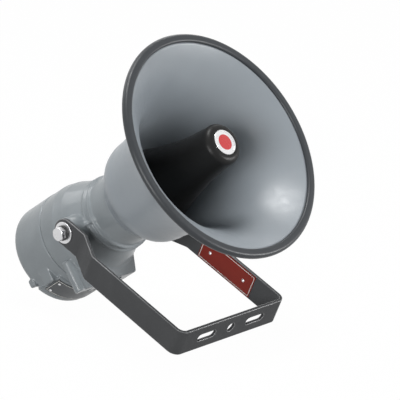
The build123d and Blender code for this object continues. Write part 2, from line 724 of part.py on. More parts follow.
def make_surround():
    return layer(DIAPHRAGM_RADIUS + SURROUND_GAP, DRIVER_RADIUS, CAP_REAR, SURROUND_REAR)


def make_clamp_ring():
    return layer(CHAMBER_RADIUS, DRIVER_RADIUS, SURROUND_REAR, CLAMP_REAR)


def make_diaphragm():
    """A thin dome with a flat rim, bulging rearwards inside the voice coil."""
    front = CAP_REAR
    rear = front + DIAPHRAGM_THICKNESS
    foot = COIL_RADIUS - COIL_WALL
    dome_radius = (foot ** 2 + DOME_HEIGHT ** 2) / (2 * DOME_HEIGHT)
    centre = rear + DOME_HEIGHT - dome_radius
    blank = disc(DIAPHRAGM_RADIUS, front, rear) + disc(foot, rear, rear + DOME_HEIGHT)
    crown = Pos(0, centre, 0) * Sphere(dome_radius)
    hollow = Pos(0, centre, 0) * Sphere(dome_radius - DIAPHRAGM_THICKNESS)
    dome = blank & crown
    return dome + ring(foot - DIAPHRAGM_THICKNESS, DIAPHRAGM_RADIUS, front, rear) - hollow


def make_voice_coil():
    front = CAP_REAR + DIAPHRAGM_THICKNESS
    return ring(COIL_RADIUS - COIL_WALL, COIL_RADIUS, front, front + COIL_LENGTH)


def make_top_plate():
    return layer(COIL_RADIUS + POLE_GAP, DRIVER_RADIUS, CLAMP_REAR, TOP_PLATE_REAR)


def make_magnet():
    return ring(MAGNET_INNER, MAGNET_OUTER, TOP_PLATE_REAR, MAGNET_REAR)


def make_pole_piece():
    pole = COIL_RADIUS - COIL_WALL - POLE_GAP
    pole_front = CAP_REAR + DIAPHRAGM_THICKNESS + DOME_HEIGHT + POLE_CLEARANCE
    return disc(MAGNET_OUTER, MAGNET_REAR, BACK_PLATE_REAR) + disc(pole, pole_front, MAGNET_REAR)


def make_driver_screws():
    screws = []
    for x, z in around(DRIVER_SCREWS, DRIVER_SCREW_CIRCLE):
        head = post(DRIVER_SCREW_HEAD_RADIUS, x, z, TOP_PLATE_REAR,
                    TOP_PLATE_REAR + DRIVER_SCREW_HEAD_HEIGHT)
        shank = post(DRIVER_SCREW_RADIUS, x, z, BULKHEAD_REAR - DRIVER_SCREW_GRIP, TOP_PLATE_REAR)
        screws.append(head + shank)
    return Compound(children=screws)


def make_standoffs():
    posts = [post(STANDOFF_RADIUS, x, z, BACK_PLATE_REAR, CHASSIS_FRONT)
             for x, z in around(STANDOFF_COUNT, STANDOFF_CIRCLE, 90)]
    return Compound(children=posts)


def make_chassis_plate():
    return disc(CHASSIS_RADIUS, CHASSIS_FRONT, CHASSIS_REAR)


def on_chassis(width, depth, height, rise, lift=0.0):
    """A block that stands on the chassis plate, its centre raised above the axis."""
    return Pos(0, CHASSIS_REAR + lift + depth / 2, rise) * Box(width, depth, height)


def make_transformer_core():
    lift = (WINDING_DEPTH - CORE_DEPTH) / 2
    core = on_chassis(CORE_WIDTH, CORE_DEPTH, CORE_HEIGHT, TRANSFORMER_RISE, lift)
    leg = WINDING_WIDTH / 2 - WINDING_BUILD / 2
    window = Box(WINDING_BUILD, CORE_DEPTH, CORE_HEIGHT - 2 * CORE_LEG)
    middle = CHASSIS_REAR + lift + CORE_DEPTH / 2
    for side in (-1, 1):
        core -= Pos(side * leg, middle, TRANSFORMER_RISE) * window
    return core


def make_transformer_winding():
    height = CORE_HEIGHT - 2 * CORE_LEG - 2 * FIT
    winding = on_chassis(WINDING_WIDTH - 2 * FIT, WINDING_DEPTH, height, TRANSFORMER_RISE)
    winding = fillet(winding.edges().filter_by(Axis.Z), WINDING_ROUND)
    leg = WINDING_WIDTH - 2 * WINDING_BUILD + 2 * FIT
    return winding - Pos(0, CHASSIS_REAR + WINDING_DEPTH / 2, TRANSFORMER_RISE) * Box(
        leg, CORE_DEPTH + 2 * FIT, height)


def make_transformer_clamps():
    """Two angles that hold the core's ends to the chassis plate."""
    tall = (WINDING_DEPTH + CORE_DEPTH) / 2
    angles = []
    for side in (-1, 1):
        face = side * CORE_WIDTH / 2
        upright = Pos(face + side * CLAMP_WALL / 2, CHASSIS_REAR + tall / 2, TRANSFORMER_RISE) * Box(
            CLAMP_WALL, tall, CLAMP_WIDTH)
        foot = Pos(face + side * CLAMP_FOOT / 2, CHASSIS_REAR + CLAMP_WALL / 2, TRANSFORMER_RISE) * Box(
            CLAMP_FOOT, CLAMP_WALL, CLAMP_WIDTH)
        angles.append(upright + foot)
    return Compound(children=angles)


def terminal_places():
    """The terminals' places along their block."""
    pitch = TERMINAL_WIDTH / TERMINAL_COUNT
    return [(number - (TERMINAL_COUNT - 1) / 2) * pitch for number in range(TERMINAL_COUNT)]


def make_terminal_block():
    block = on_chassis(TERMINAL_WIDTH, TERMINAL_DEPTH, TERMINAL_HEIGHT, -TERMINAL_DROP)
    bay = Box(TERMINAL_WIDTH / TERMINAL_COUNT - TERMINAL_BARRIER, TERMINAL_STEP, TERMINAL_HEIGHT)
    top = CHASSIS_REAR + TERMINAL_DEPTH - TERMINAL_STEP / 2
    for x in terminal_places():
        block -= Pos(x, top, -TERMINAL_DROP) * bay
    return block


def make_terminal_screws():
    seat = CHASSIS_REAR + TERMINAL_DEPTH - TERMINAL_STEP
    return Compound(children=[
        post(TERMINAL_SCREW_RADIUS, x, -TERMINAL_DROP, seat, seat + TERMINAL_SCREW_HEIGHT)
        for x in terminal_places()])


def plate_screw_places():
    """Where the plate's four drive screws stand, each with Z outwards."""
    angle = PLATE_ANGLE - degrees(PLATE_SCREW_INSET / PLATE_SEAT)
    face = Pos(0, 0, -PLATE_SEAT - PLATE_THICKNESS) * Rot(180, 0, 0)
    for turn in (-angle, angle):
        for inset in (PLATE_SCREW_INSET, PLATE_LENGTH - PLATE_SCREW_INSET):
            yield Pos(0, PLATE_FRONT + inset, 0) * Rot(0, turn, 0) * face


def make_rating_plate():
    section = Pos(PLATE_SEAT + PLATE_THICKNESS / 2, PLATE_FRONT + PLATE_LENGTH / 2) * Rectangle(
        PLATE_THICKNESS, PLATE_LENGTH)
    plate = Rot(0, 90 - PLATE_ANGLE, 0) * revolve(section, Axis.Y, 2 * PLATE_ANGLE)
    for place in plate_screw_places():
        plate -= place * Cylinder(PLATE_SHANK_RADIUS + FIT, 4 * PLATE_THICKNESS)
    return plate


def make_plate_screws():
    screws = []
    for place in plate_screw_places():
        head = place * Pos(0, 0, PLATE_SCREW_HEIGHT / 2) * Cylinder(
            PLATE_SCREW_RADIUS, PLATE_SCREW_HEIGHT)
        shank = place * Pos(0, 0, -PLATE_THICKNESS / 2) * Cylinder(PLATE_SHANK_RADIUS, PLATE_THICKNESS)
        screws.append(head + shank)
    return Compound(children=screws)


ARM_TOP_INNER = BOSS_SPAN / 2 + FACE_GAP
ARM_TOP_OUTER = ARM_TOP_INNER + STRAP_THICKNESS
WASHER_SEAT = ARM_TOP_OUTER + FACE_GAP
LOCK_SEAT = WASHER_SEAT + FLAT_WASHER_THICKNESS
HEAD_SEAT = LOCK_SEAT + LOCK_WASHER_THICKNESS


def make_bracket():
    """The folded strap, with its arms hanging straight down from the pivot."""
    half = STRAP_THICKNESS / 2
    top = ARM_TOP_INNER + half
    low = BRACKET_HALF_WIDTH - half
    bar = -ARM_LENGTH + half
    tip = STRAP_WIDTH / 2
    middle_line = FilletPolyline(
        (-top, tip), (-top, -JOGGLE_START), (-low, -JOGGLE_END), (-low, bar),
        (low, bar), (low, -JOGGLE_END), (top, -JOGGLE_START), (top, tip),
        radius=[JOGGLE_BEND, JOGGLE_BEND, CORNER_BEND, CORNER_BEND, JOGGLE_BEND, JOGGLE_BEND])
    folded = Plane.XZ * trace(middle_line, STRAP_THICKNESS)
    strap = extrude(folded, STRAP_WIDTH / 2, both=True)
    side_view = Plane.YZ * (Circle(STRAP_WIDTH / 2) + Pos(0, -ARM_LENGTH / 2) * Rectangle(
        STRAP_WIDTH, ARM_LENGTH))
    strap = strap & extrude(side_view, BRACKET_HALF_WIDTH, both=True)
    pivot_hole = Rot(0, 90, 0) * Cylinder(PIVOT_BOLT_RADIUS + RUNNING, 2 * BRACKET_HALF_WIDTH)
    slot = extrude(SlotOverall(SLOT_LENGTH, SLOT_WIDTH), STRAP_THICKNESS, both=True)
    strap -= pivot_hole
    for side in (-1, 1):
        strap -= Pos(side * SLOT_SPACING / 2, 0, -ARM_LENGTH) * slot
    return strap - Pos(0, 0, -ARM_LENGTH) * Cylinder(MIDDLE_HOLE_RADIUS, 2 * STRAP_THICKNESS)


def make_label_plate():
    face = BRACKET_HALF_WIDTH - STRAP_THICKNESS
    plate = Pos(face - LABEL_THICKNESS / 2, 0, -LABEL_CENTRE) * Box(
        LABEL_THICKNESS, LABEL_WIDTH, LABEL_LENGTH)
    return fillet(plate.edges().filter_by(Axis.X), LABEL_CORNER)


def make_label_rivets():
    face = BRACKET_HALF_WIDTH - STRAP_THICKNESS - LABEL_THICKNESS
    rivets = []
    for end in (-1, 1):
        drop = LABEL_CENTRE + end * LABEL_RIVET_SPACING / 2
        rivet = along_x(LABEL_RIVET_RADIUS, face - LABEL_RIVET_HEIGHT, LABEL_RIVET_HEIGHT)
        rivet = Pos(0, 0, -drop) * rivet
        rivets.append(fillet(rivet.edges().group_by(Axis.X)[0], LABEL_RIVET_ROUND))
    return Compound(children=rivets)


def make_pivot_bolt(side):
    head = Plane.YZ.offset(HEAD_SEAT) * RegularPolygon(BOLT_HEAD_WIDTH / 2, 6, major_radius=False)
    bolt = extrude(head, BOLT_HEAD_HEIGHT)
    corner = BOLT_HEAD_WIDTH / sqrt(3)
    chamfered = along_x(corner, HEAD_SEAT, BOLT_HEAD_HEIGHT)
    chamfered = chamfer(chamfered.edges().group_by(Axis.X)[-1], BOLT_CHAMFER)
    bolt = bolt & chamfered
    shank_end = BOSS_SPAN / 2 - BOLT_GRIP
    bolt += along_x(PIVOT_BOLT_RADIUS, shank_end, HEAD_SEAT - shank_end)
    return bolt if side > 0 else mirror(bolt, Plane.YZ)


def washer(seat, thickness, radius):
    """A ring about a pivot bolt, from its seat outwards."""
    return along_x(radius, seat, thickness) - along_x(PIVOT_BOLT_RADIUS + FIT, seat, thickness)


def make_flat_washer(side):
    flat = washer(WASHER_SEAT, FLAT_WASHER_THICKNESS, FLAT_WASHER_RADIUS)
    return flat if side > 0 else mirror(flat, Plane.YZ)


def make_lock_washer(side):
    lock = washer(LOCK_SEAT, LOCK_WASHER_THICKNESS, LOCK_WASHER_RADIUS)
    split = Pos(LOCK_SEAT + LOCK_WASHER_THICKNESS / 2, 0, LOCK_WASHER_RADIUS / 2) * Rot(
        LOCK_WASHER_SKEW, 0, 0) * Box(LOCK_WASHER_THICKNESS, LOCK_WASHER_SPLIT, LOCK_WASHER_RADIUS)
    lock -= split
    return lock if side > 0 else mirror(lock, Plane.YZ)


# The table touches the cover's rounded rear edge and the lower edge of the bar
table_drop = ((COVER_END - COVER_ROUND) * sin(radians(HORN_ELEVATION))
              + (PAD_RADIUS - COVER_ROUND) * cos(radians(HORN_ELEVATION)) + COVER_ROUND)
arm_reach = hypot(ARM_LENGTH, STRAP_WIDTH / 2)
arm_fall = degrees(asin(table_drop / arm_reach) - atan2(STRAP_WIDTH / 2, ARM_LENGTH))

# The origin is the middle hole of the bracket's bar, on its outer face
pivot = Pos(0, ARM_LENGTH * cos(radians(arm_fall)), ARM_LENGTH * sin(radians(arm_fall)))
speaker_place = pivot * Rot(-HORN_ELEVATION, 0, 0)
bracket_place = pivot * Rot(arm_fall - 90, 0, 0)

speaker_parts = {
    "bell": make_bell(),
    "rim_trim": make_rim_trim(),
    "cone": make_cone(),
    "nose_badge": make_nose_badge(),
    "nose_bolt": make_nose_bolt(),
    "spider": make_spider(),
    "throat_tube": make_throat_tube(),
    "tube_screws": make_tube_screws(),
    "flame_arrestor": make_flame_arrestor(),
    "bell_screws": make_bell_screws(),
    "bell_gasket": make_bell_gasket(),
    "front_housing": make_front_housing(),
    "rear_cover": make_rear_cover(),
    "cover_seal": make_cover_seal(),
    "driver_gasket": make_driver_gasket(),
    "driver_cap": make_driver_cap(),
    "phase_plug": make_phase_plug(),
    "surround": make_surround(),
    "clamp_ring": make_clamp_ring(),
    "diaphragm": make_diaphragm(),
    "voice_coil": make_voice_coil(),
    "top_plate": make_top_plate(),
    "magnet": make_magnet(),
    "pole_piece": make_pole_piece(),
    "driver_screws": make_driver_screws(),
    "standoffs": make_standoffs(),
    "chassis_plate": make_chassis_plate(),
    "transformer_core": make_transformer_core(),
    "transformer_winding": make_transformer_winding(),
    "transformer_clamps": make_transformer_clamps(),
    "terminal_block": make_terminal_block(),
    "terminal_screws": make_terminal_screws(),
    "rating_plate": make_rating_plate(),
    "plate_screws": make_plate_screws(),
    "pivot_bolt_near": make_pivot_bolt(-1),
    "pivot_bolt_far": make_pivot_bolt(1),
    "lock_washer_near": make_lock_washer(-1),
    "lock_washer_far": make_lock_washer(1),
    "flat_washer_near": make_flat_washer(-1),
    "flat_washer_far": make_flat_washer(1),
}
bracket_parts = {
    "bracket": make_bracket(),
    "label_plate": make_label_plate(),
    "label_rivets": make_label_rivets(),
}

os.makedirs("parts", exist_ok=True)
for name, shape in speaker_parts.items():
    export_step(speaker_place * shape, f"parts/{name}.step")
for name, shape in bracket_parts.items():
    export_step(bracket_place * shape, f"parts/{name}.step")
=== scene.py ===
# %% [markdown]
# An explosion-proof horn speaker is a spun bell on a thick cast housing, hung between the
# arms of a folded strap. The CAD model already fixes every size and place. This lesson
# dresses it: the castings get their soft corners and sand-cast skin, the spun and folded
# pieces get rounded edges, and each finish is built from nodes.

# %% The frame and its driving places
import bpy
import json
from math import asin, cos, exp, pi, radians, sin, tan
from mathutils import Matrix, Vector


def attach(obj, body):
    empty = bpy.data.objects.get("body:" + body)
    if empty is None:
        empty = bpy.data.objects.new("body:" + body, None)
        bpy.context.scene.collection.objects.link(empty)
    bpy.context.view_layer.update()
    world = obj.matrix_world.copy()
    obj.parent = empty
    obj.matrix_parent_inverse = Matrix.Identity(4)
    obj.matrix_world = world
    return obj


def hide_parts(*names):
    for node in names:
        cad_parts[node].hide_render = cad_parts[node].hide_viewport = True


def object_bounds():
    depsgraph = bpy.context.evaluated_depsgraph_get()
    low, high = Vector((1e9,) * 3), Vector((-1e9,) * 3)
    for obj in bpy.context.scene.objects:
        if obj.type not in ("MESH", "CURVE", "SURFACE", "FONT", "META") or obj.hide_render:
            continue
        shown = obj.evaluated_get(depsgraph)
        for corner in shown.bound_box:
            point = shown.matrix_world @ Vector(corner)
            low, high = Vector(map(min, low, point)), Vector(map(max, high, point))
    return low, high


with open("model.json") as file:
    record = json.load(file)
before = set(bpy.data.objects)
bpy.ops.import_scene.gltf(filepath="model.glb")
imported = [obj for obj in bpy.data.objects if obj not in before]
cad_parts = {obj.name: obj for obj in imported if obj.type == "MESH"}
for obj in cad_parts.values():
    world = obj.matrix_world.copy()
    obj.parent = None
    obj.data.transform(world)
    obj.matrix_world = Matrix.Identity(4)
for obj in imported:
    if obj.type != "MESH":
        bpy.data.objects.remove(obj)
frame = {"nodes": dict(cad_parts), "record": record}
cad_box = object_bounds()
MM = 0.001
joints = {joint["name"]: joint for joint in frame["record"]["behaviour"]["joints"]}
mounts = {mount["name"]: mount for mount in frame["record"]["mounts"]}
PIVOT = Vector(joints["bracket_swivel"]["pos_m"])
horn_axis = Vector(joints["diaphragm_travel"]["axis"])
bar_axis = Vector(mounts["bracket_hole"]["axis"])
ELEVATION = asin(horn_axis.z)
ARM_FALL = asin(-bar_axis.z)
on_speaker = Matrix.Translation(PIVOT) @ Matrix.Rotation(-ELEVATION, 4, "X")
on_bracket = Matrix.Translation(PIVOT) @ Matrix.Rotation(ARM_FALL - pi / 2, 4, "X")
print("pivot", PIVOT, "horn elevation", ELEVATION, "arm fall", ARM_FALL)

# %% [markdown]
# Nearly all the speaker's shapes are turned about the horn's axis or folded from a strip,
# so both start as a line of points. A tiny plane is merged into one vertex, which is
# extruded from point to point as one would with the E key. Everything is drawn in
# millimetres about the pivot, with the horn along Y, and laid in place at the end.

# %% Working by hand: lines and turning
WELD = 0.01 * MM
TURN_STEPS = 160
FINE_TURN = 192
CORNER_STEPS = 6
FINE_CORNER = 8


def pick_only(piece):
    bpy.ops.object.select_all(action="DESELECT")
    piece.select_set(True)
    bpy.context.view_layer.objects.active = piece


def draw_line(name, points):
    """Extrude one vertex through the points, and stay in edit mode."""
    bpy.ops.object.select_all(action="DESELECT")
    bpy.ops.mesh.primitive_plane_add(size=MM)
    piece = bpy.context.object
    piece.name = name
    bpy.ops.object.mode_set(mode="EDIT")
    bpy.ops.mesh.merge(type="CENTER")
    here = Vector((0, 0, 0))
    for number, point in enumerate(points):
        there = Vector(point).to_3d() * MM
        if number == 0:
            bpy.ops.transform.translate(value=there)
        else:
            bpy.ops.mesh.extrude_region_move(TRANSFORM_OT_translate={"value": there - here})
        here = there
    bpy.ops.mesh.select_all(action="SELECT")
    bpy.ops.mesh.remove_doubles(threshold=WELD)
    return piece


def turn(name, outline, angle=2 * pi, steps=TURN_STEPS, capped=False):
    """Turn a line of (radius, station) points about the horn's axis."""
    piece = draw_line(name, outline)
    if capped:
        bpy.ops.mesh.edge_face_add()
    bpy.ops.mesh.spin(steps=steps, angle=angle, center=(0, 0, 0), axis=(0, 1, 0))
    bpy.ops.mesh.select_all(action="SELECT")
    bpy.ops.mesh.remove_doubles(threshold=WELD)
    bpy.ops.mesh.normals_make_consistent(inside=False)
    bpy.ops.object.mode_set(mode="OBJECT")
    return piece


def rounded(points, radii, steps=CORNER_STEPS):
    """The line through points whose corners are arcs of the given radii."""
    line = []
    for number, radius in enumerate(radii):
        corner = Vector(points[number])
        if not radius:
            line.append(corner)
            continue
        back = (Vector(points[number - 1]) - corner).normalized()
        ahead = (Vector(points[(number + 1) % len(points)]) - corner).normalized()
        half = back.angle(ahead) / 2
        centre = corner + (back + ahead).normalized() * radius / sin(half)
        first = corner + back * radius / tan(half) - centre
        last = corner + ahead * radius / tan(half) - centre
        for step in range(steps + 1):
            line.append(centre + radius * first.slerp(last, step / steps))
    return line


def closed(points):
    return list(points) + [points[0]]


# %% [markdown]
# Other shapes are plain solids: a block between two corners, a round bar, or an outline
# that is filled and extruded. They are joined and cut with Boolean modifiers, and a bevel
# takes off their edges. Each modifier is applied at once, so that the piece stays a mesh.

# %% Working by hand: solids and modifiers
EDGE_ANGLE = 35
ROD_SIDES = 64
FINE_SIDES = 96


def work(piece, kind, **settings):
    """Add a modifier with its settings and apply it."""
    modifier = piece.modifiers.new(kind, kind)
    for setting, value in settings.items():
        setattr(modifier, setting, value)
    pick_only(piece)
    bpy.ops.object.modifier_apply(modifier=modifier.name)


def soften(piece, width, segments=3, angle=EDGE_ANGLE, **settings):
    work(piece, "BEVEL", width=width * MM, segments=segments, limit_method="ANGLE",
         angle_limit=radians(angle), **settings)


def combine(piece, other, operation="UNION"):
    """Join or cut with another solid, which is used up."""
    work(piece, "BOOLEAN", object=other, operation=operation, solver="EXACT")
    bpy.data.objects.remove(other)


def move(piece, matrix):
    """Move a piece by a matrix and apply it."""
    piece.matrix_world = matrix @ piece.matrix_world
    pick_only(piece)
    bpy.ops.object.transform_apply()


def block(name, low, high):
    """A box between two corners."""
    bpy.ops.object.select_all(action="DESELECT")
    bpy.ops.mesh.primitive_cube_add(size=MM)
    piece = bpy.context.object
    piece.name = name
    piece.scale = [top - bottom for bottom, top in zip(low, high)]
    piece.location = [(bottom + top) / 2 * MM for bottom, top in zip(low, high)]
    bpy.ops.object.transform_apply(location=True, rotation=False, scale=True)
    return piece


def rod(name, radius, start, end, along, place=(0, 0, 0), sides=ROD_SIDES):
    """A round bar from start to end along X, Y or Z, through a place."""
    bpy.ops.object.select_all(action="DESELECT")
    bpy.ops.mesh.primitive_cylinder_add(vertices=sides, radius=radius * MM,
                                        depth=(end - start) * MM)
    piece = bpy.context.object
    piece.name = name
    turns = {"X": Matrix.Rotation(pi / 2, 4, "Y"), "Y": Matrix.Rotation(pi / 2, 4, "X"),
             "Z": Matrix()}
    shift = Vector(place) * MM
    shift["XYZ".index(along)] += (start + end) / 2 * MM
    move(piece, Matrix.Translation(shift) @ turns[along])
    return piece


def extruded(name, outline, start, push):
    """Fill a closed outline, shift it to its start and push it out into a solid."""
    piece = draw_line(name, closed(outline))
    bpy.ops.mesh.edge_face_add()
    bpy.ops.transform.translate(value=Vector(start) * MM)
    bpy.ops.mesh.extrude_region_move(TRANSFORM_OT_translate={"value": Vector(push) * MM})
    bpy.ops.mesh.select_all(action="SELECT")
    bpy.ops.mesh.normals_make_consistent(inside=False)
    bpy.ops.object.mode_set(mode="OBJECT")
    return piece


# %% [markdown]
# A finished piece is shaded, laid in place, given to the body that it moves with, and
# noted under its finish. Plates get an etched line: the front is inset twice, and the
# faces between the two insets are kept by number, to be coloured later.

# %% Working by hand: shading, laying in place and etching
SMOOTH_ANGLE = 38
CRISP_ANGLE = 30
BROAD_ANGLE = 50
DOME_ANGLE = 60
FLAT_WEIGHT = 80
LINE_INSET = 1.2
LINE_WIDTH = 0.8
finishes = {}


def smooth(piece, angle=SMOOTH_ANGLE):
    """Smooth shading that lets the large faces set the normals, so that flats stay flat."""
    pick_only(piece)
    bpy.ops.object.shade_smooth_by_angle(angle=radians(angle))
    work(piece, "WEIGHTED_NORMAL", keep_sharp=True, weight=FLAT_WEIGHT)


def lay(piece, place, body, material_slot, *nodes):
    """Put a finished piece in place on its body, hide the CAD nodes it stands for, and note its
    finish.
    """
    move(piece, place)
    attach(piece, body)
    if nodes:
        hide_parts(*nodes)
    finishes.setdefault(material_slot, []).append(piece)
    print(piece.name, len(piece.data.polygons), "faces")
    return piece


def etch(plate, is_front, inset=LINE_INSET, line=LINE_WIDTH):
    """Inset a plate's front twice, and return the numbers of the faces in between."""
    bpy.ops.object.select_all(action="DESELECT")
    bpy.context.view_layer.objects.active = plate
    bpy.ops.object.mode_set(mode="EDIT")
    bpy.ops.mesh.select_mode(type="FACE")
    bpy.ops.mesh.select_all(action="DESELECT")
    bpy.ops.object.mode_set(mode="OBJECT")
    for face in plate.data.polygons:
        face.select = is_front(face)
    bpy.ops.object.mode_set(mode="EDIT")
    bpy.ops.mesh.inset(thickness=inset * MM)
    bpy.ops.object.mode_set(mode="OBJECT")
    count = len(plate.data.polygons)
    bpy.ops.object.mode_set(mode="EDIT")
    bpy.ops.mesh.inset(thickness=line * MM)
    bpy.ops.mesh.select_mode(type="VERT")
    bpy.ops.object.mode_set(mode="OBJECT")
    lines = list(range(count, len(plate.data.polygons)))
    print(plate.name, "faces between the insets", len(lines))
    return lines


# %% [markdown]
# The bell is spun from aluminium sheet over a wooden former, which gives one smooth
# flare with the same wall all over. Its radius falls off exponentially from the lip to the
# waist, then the bowl closes in to a crease and a short band. Many closely spaced points
# keep the flare fair, where a few points and a bevel would show as flats.

# %% The bell
BELL_EDGE = 130.3
BELL_LIP = 123.3
BELL_WAIST = 56.5
FLARE_LENGTH = 46.0
FLARE_POINTS = 34
MOUTH = -205.5
BOWL_START = 112.0
BELL_WALL = 3.0
CREASE = (50.0, -68.5)
BAND_END = (43.0, -54.0)
BASE_THICKNESS = 5.0
PORT = 17.05
BELL_ROUND = 0.7


def flare(inset, count=FLARE_POINTS):
    points = []
    for number in range(count):
        depth = BOWL_START * number / (count - 1)
        rise = (BELL_LIP - BELL_WAIST) * exp(-depth / FLARE_LENGTH)
        wall = Vector((1, rise / FLARE_LENGTH)).normalized() * inset
        points.append((BELL_WAIST + rise - wall.x, MOUTH + depth - wall.y))
    return points


def bowl(start, end, steps=FINE_CORNER):
    """A quarter turn from straight down the waist to the crease."""
    return [(end[0] + (start[0] - end[0]) * cos(step / steps * pi / 2),
             start[1] + (end[1] - start[1]) * sin(step / steps * pi / 2))
            for step in range(1, steps + 1)]


outside = flare(0)
inside = flare(BELL_WALL)
lip_front = inside[0][1]
floor = (BAND_END[0] - BELL_WALL, BAND_END[1] - BASE_THICKNESS)
outline = outside + bowl(outside[-1], CREASE)
outline += [BAND_END, (PORT, BAND_END[1]), (PORT, floor[1]), floor]
outline += list(reversed([inside[-1]] + bowl(inside[-1], floor)[:-1]))[:-1]
outline += list(reversed(inside)) + [(BELL_EDGE, lip_front), (BELL_EDGE, outside[0][1])]
bell = turn("spun_bell", closed(outline), steps=FINE_TURN)
soften(bell, BELL_ROUND)
smooth(bell)
lay(bell, on_speaker, "speaker", "horn_grey", "bell")

# %% [markdown]
# A moulded edging grips the bell's lip all round, fat and round outside and thinner
# within. Its channel section is drawn once and turned. A bevel would give every corner the
# same radius, so the corners are drawn as arcs, each with its own.

# %% The edging on the rim
RIM = 133.5
EDGING_WIDTH = 10.5
EDGING_WALL = 3.2
EDGING_STEP = 1.2
INNER_ROUND = 2.9
OUTER_ROUND = 4.2
STEP_ROUND = 1.6
corners = [
    (RIM - EDGING_WIDTH, lip_front), (RIM - EDGING_WIDTH, lip_front - EDGING_WALL),
    (RIM, lip_front - EDGING_WALL), (RIM, MOUTH + EDGING_WALL),
    (BELL_LIP + EDGING_STEP, MOUTH + EDGING_WALL), (BELL_LIP + EDGING_STEP, MOUTH),
    (BELL_EDGE, MOUTH), (BELL_EDGE, lip_front)]
corner_radii = (0, INNER_ROUND, OUTER_ROUND, OUTER_ROUND, STEP_ROUND, 0, 0, 0)
outline = rounded(corners, corner_radii, FINE_CORNER)
edging = turn("rim_edging", closed(outline), steps=FINE_TURN)
smooth(edging, BROAD_ANGLE)
lay(edging, on_speaker, "speaker", "edge_rubber", "rim_trim")

# %% [markdown]
# The black cone folds the sound path back: its thick nose stands a little proud of the
# mouth and its flank swells gently to an open rear edge. The nose has a broad round
# corner, which carries the one soft highlight that the photograph shows.

# %% The cone
NOSE_FRONT = -215.0
NOSE_RADIUS = 24.5
NOSE_ROUND = 8.0
NOSE_STEPS = 10
CONE_LENGTH = 114.5
CONE_MOUTH = 43.5
CONE_POWER = 1.8
CONE_WALL = 2.5
FLANK_POINTS = 22
CONE_ROUND = 0.35
NOSE_WALL = 7.0
BADGE_RADIUS = 14.7
BADGE_RECESS = 1.0
BADGE_CLEARANCE = 0.25


def flank(inset, count=FLANK_POINTS):
    points = []
    for number in range(count):
        share = number / (count - 1)
        radius = NOSE_RADIUS + (CONE_MOUTH - NOSE_RADIUS) * share ** CONE_POWER
        station = NOSE_FRONT + NOSE_ROUND + (CONE_LENGTH - NOSE_ROUND) * share
        points.append((radius - inset, station))
    return points


nose_turns = [step / NOSE_STEPS * pi / 2 for step in range(NOSE_STEPS + 1)]
nose = [(NOSE_RADIUS - NOSE_ROUND * (1 - sin(angle)), NOSE_FRONT + NOSE_ROUND * (1 - cos(angle)))
        for angle in nose_turns]
hollow = list(reversed(flank(CONE_WALL)))
seat = NOSE_FRONT + NOSE_WALL
recess = NOSE_FRONT + BADGE_RECESS
recess_radius = BADGE_RADIUS + BADGE_CLEARANCE
outline = [(0, recess), (recess_radius, recess), (recess_radius, NOSE_FRONT)]
outline += nose + flank(0)[1:] + hollow + [(hollow[-1][0], seat), (0, seat)]
cone = turn("inner_cone", outline)
soften(cone, CONE_ROUND, 2, BROAD_ANGLE)
smooth(cone)
lay(cone, on_speaker, "speaker", "cone_black", "cone")

# %% [markdown]
# A polished badge closes the nose: a silver disc with a raised border, and a plain red
# enamel roundel in its middle. Both could be bevelled cylinders, but their steps are tenths
# of a millimetre, so each is turned from pairs of radius and depth below the border's face.

# %% The badge and its roundel
BADGE_THICKNESS = 1.6
BADGE_BORDER = 1.6
BADGE_FIELD = BADGE_RADIUS - BADGE_BORDER
ROUNDEL_RADIUS = 9.2
top = recess - BADGE_THICKNESS
badge_section = ((0, 0.4), (BADGE_FIELD, 0.4), (BADGE_FIELD - 0.3, 0.1), (BADGE_FIELD + 0.5, 0),
                 (BADGE_RADIUS - 0.4, 0), (BADGE_RADIUS, 0.5), (BADGE_RADIUS, BADGE_THICKNESS),
                 (0, BADGE_THICKNESS))
roundel_section = ((0, 0.05), (ROUNDEL_RADIUS * 0.7, 0.12), (ROUNDEL_RADIUS, 0.3),
                   (ROUNDEL_RADIUS, 0.5), (0, 0.5))


def disc(name, section):
    piece = turn(name, [(radius, top + depth) for radius, depth in section], steps=FINE_SIDES)
    smooth(piece, CRISP_ANGLE)
    return piece


badge = disc("nose_badge_plate", badge_section)
lay(badge, on_speaker, "speaker", "badge", "nose_badge")
roundel = disc("badge_roundel", roundel_section)
lay(roundel, on_speaker, "speaker", "badge")

# %% [markdown]
# The front housing is one sand casting. Its core is turned: a neck, two beads with a
# groove between them, a shoulder in steps and a plain barrel. The shoulder's steps catch
# the bands of light that the photograph shows. Straight lines between a few points are
# enough for them, since the whole casting is smoothed later.

# %% The front housing's core
NECK = 41.2
GROOVE_FLOOR = 41.8
BEAD_FOOT = 44.0
BEAD_WIDTH = 5.0
FRONT_BEAD_RISE = 3.6
REAR_BEAD_RISE = 2.8
GROOVE_STATION = -21.0
HALF_GROOVE = 1.4
BARREL = 57.0
BARREL_BREAK = 1.0
SHOULDER = [(44.6, -12.5), (52.9, 9.0), (53.9, 11.0), (56.2, 22.0), (56.9, 24.0), (BARREL, 36.0)]
HOUSING_FRONT = -53.0
HOUSING_REAR = 47.0


def arc_over(start, end, height, steps=FINE_CORNER):
    """A low bead between two stations."""
    return [(start[0] + (end[0] - start[0]) * step / steps + height * sin(step / steps * pi),
             start[1] + (end[1] - start[1]) * step / steps) for step in range(steps + 1)]


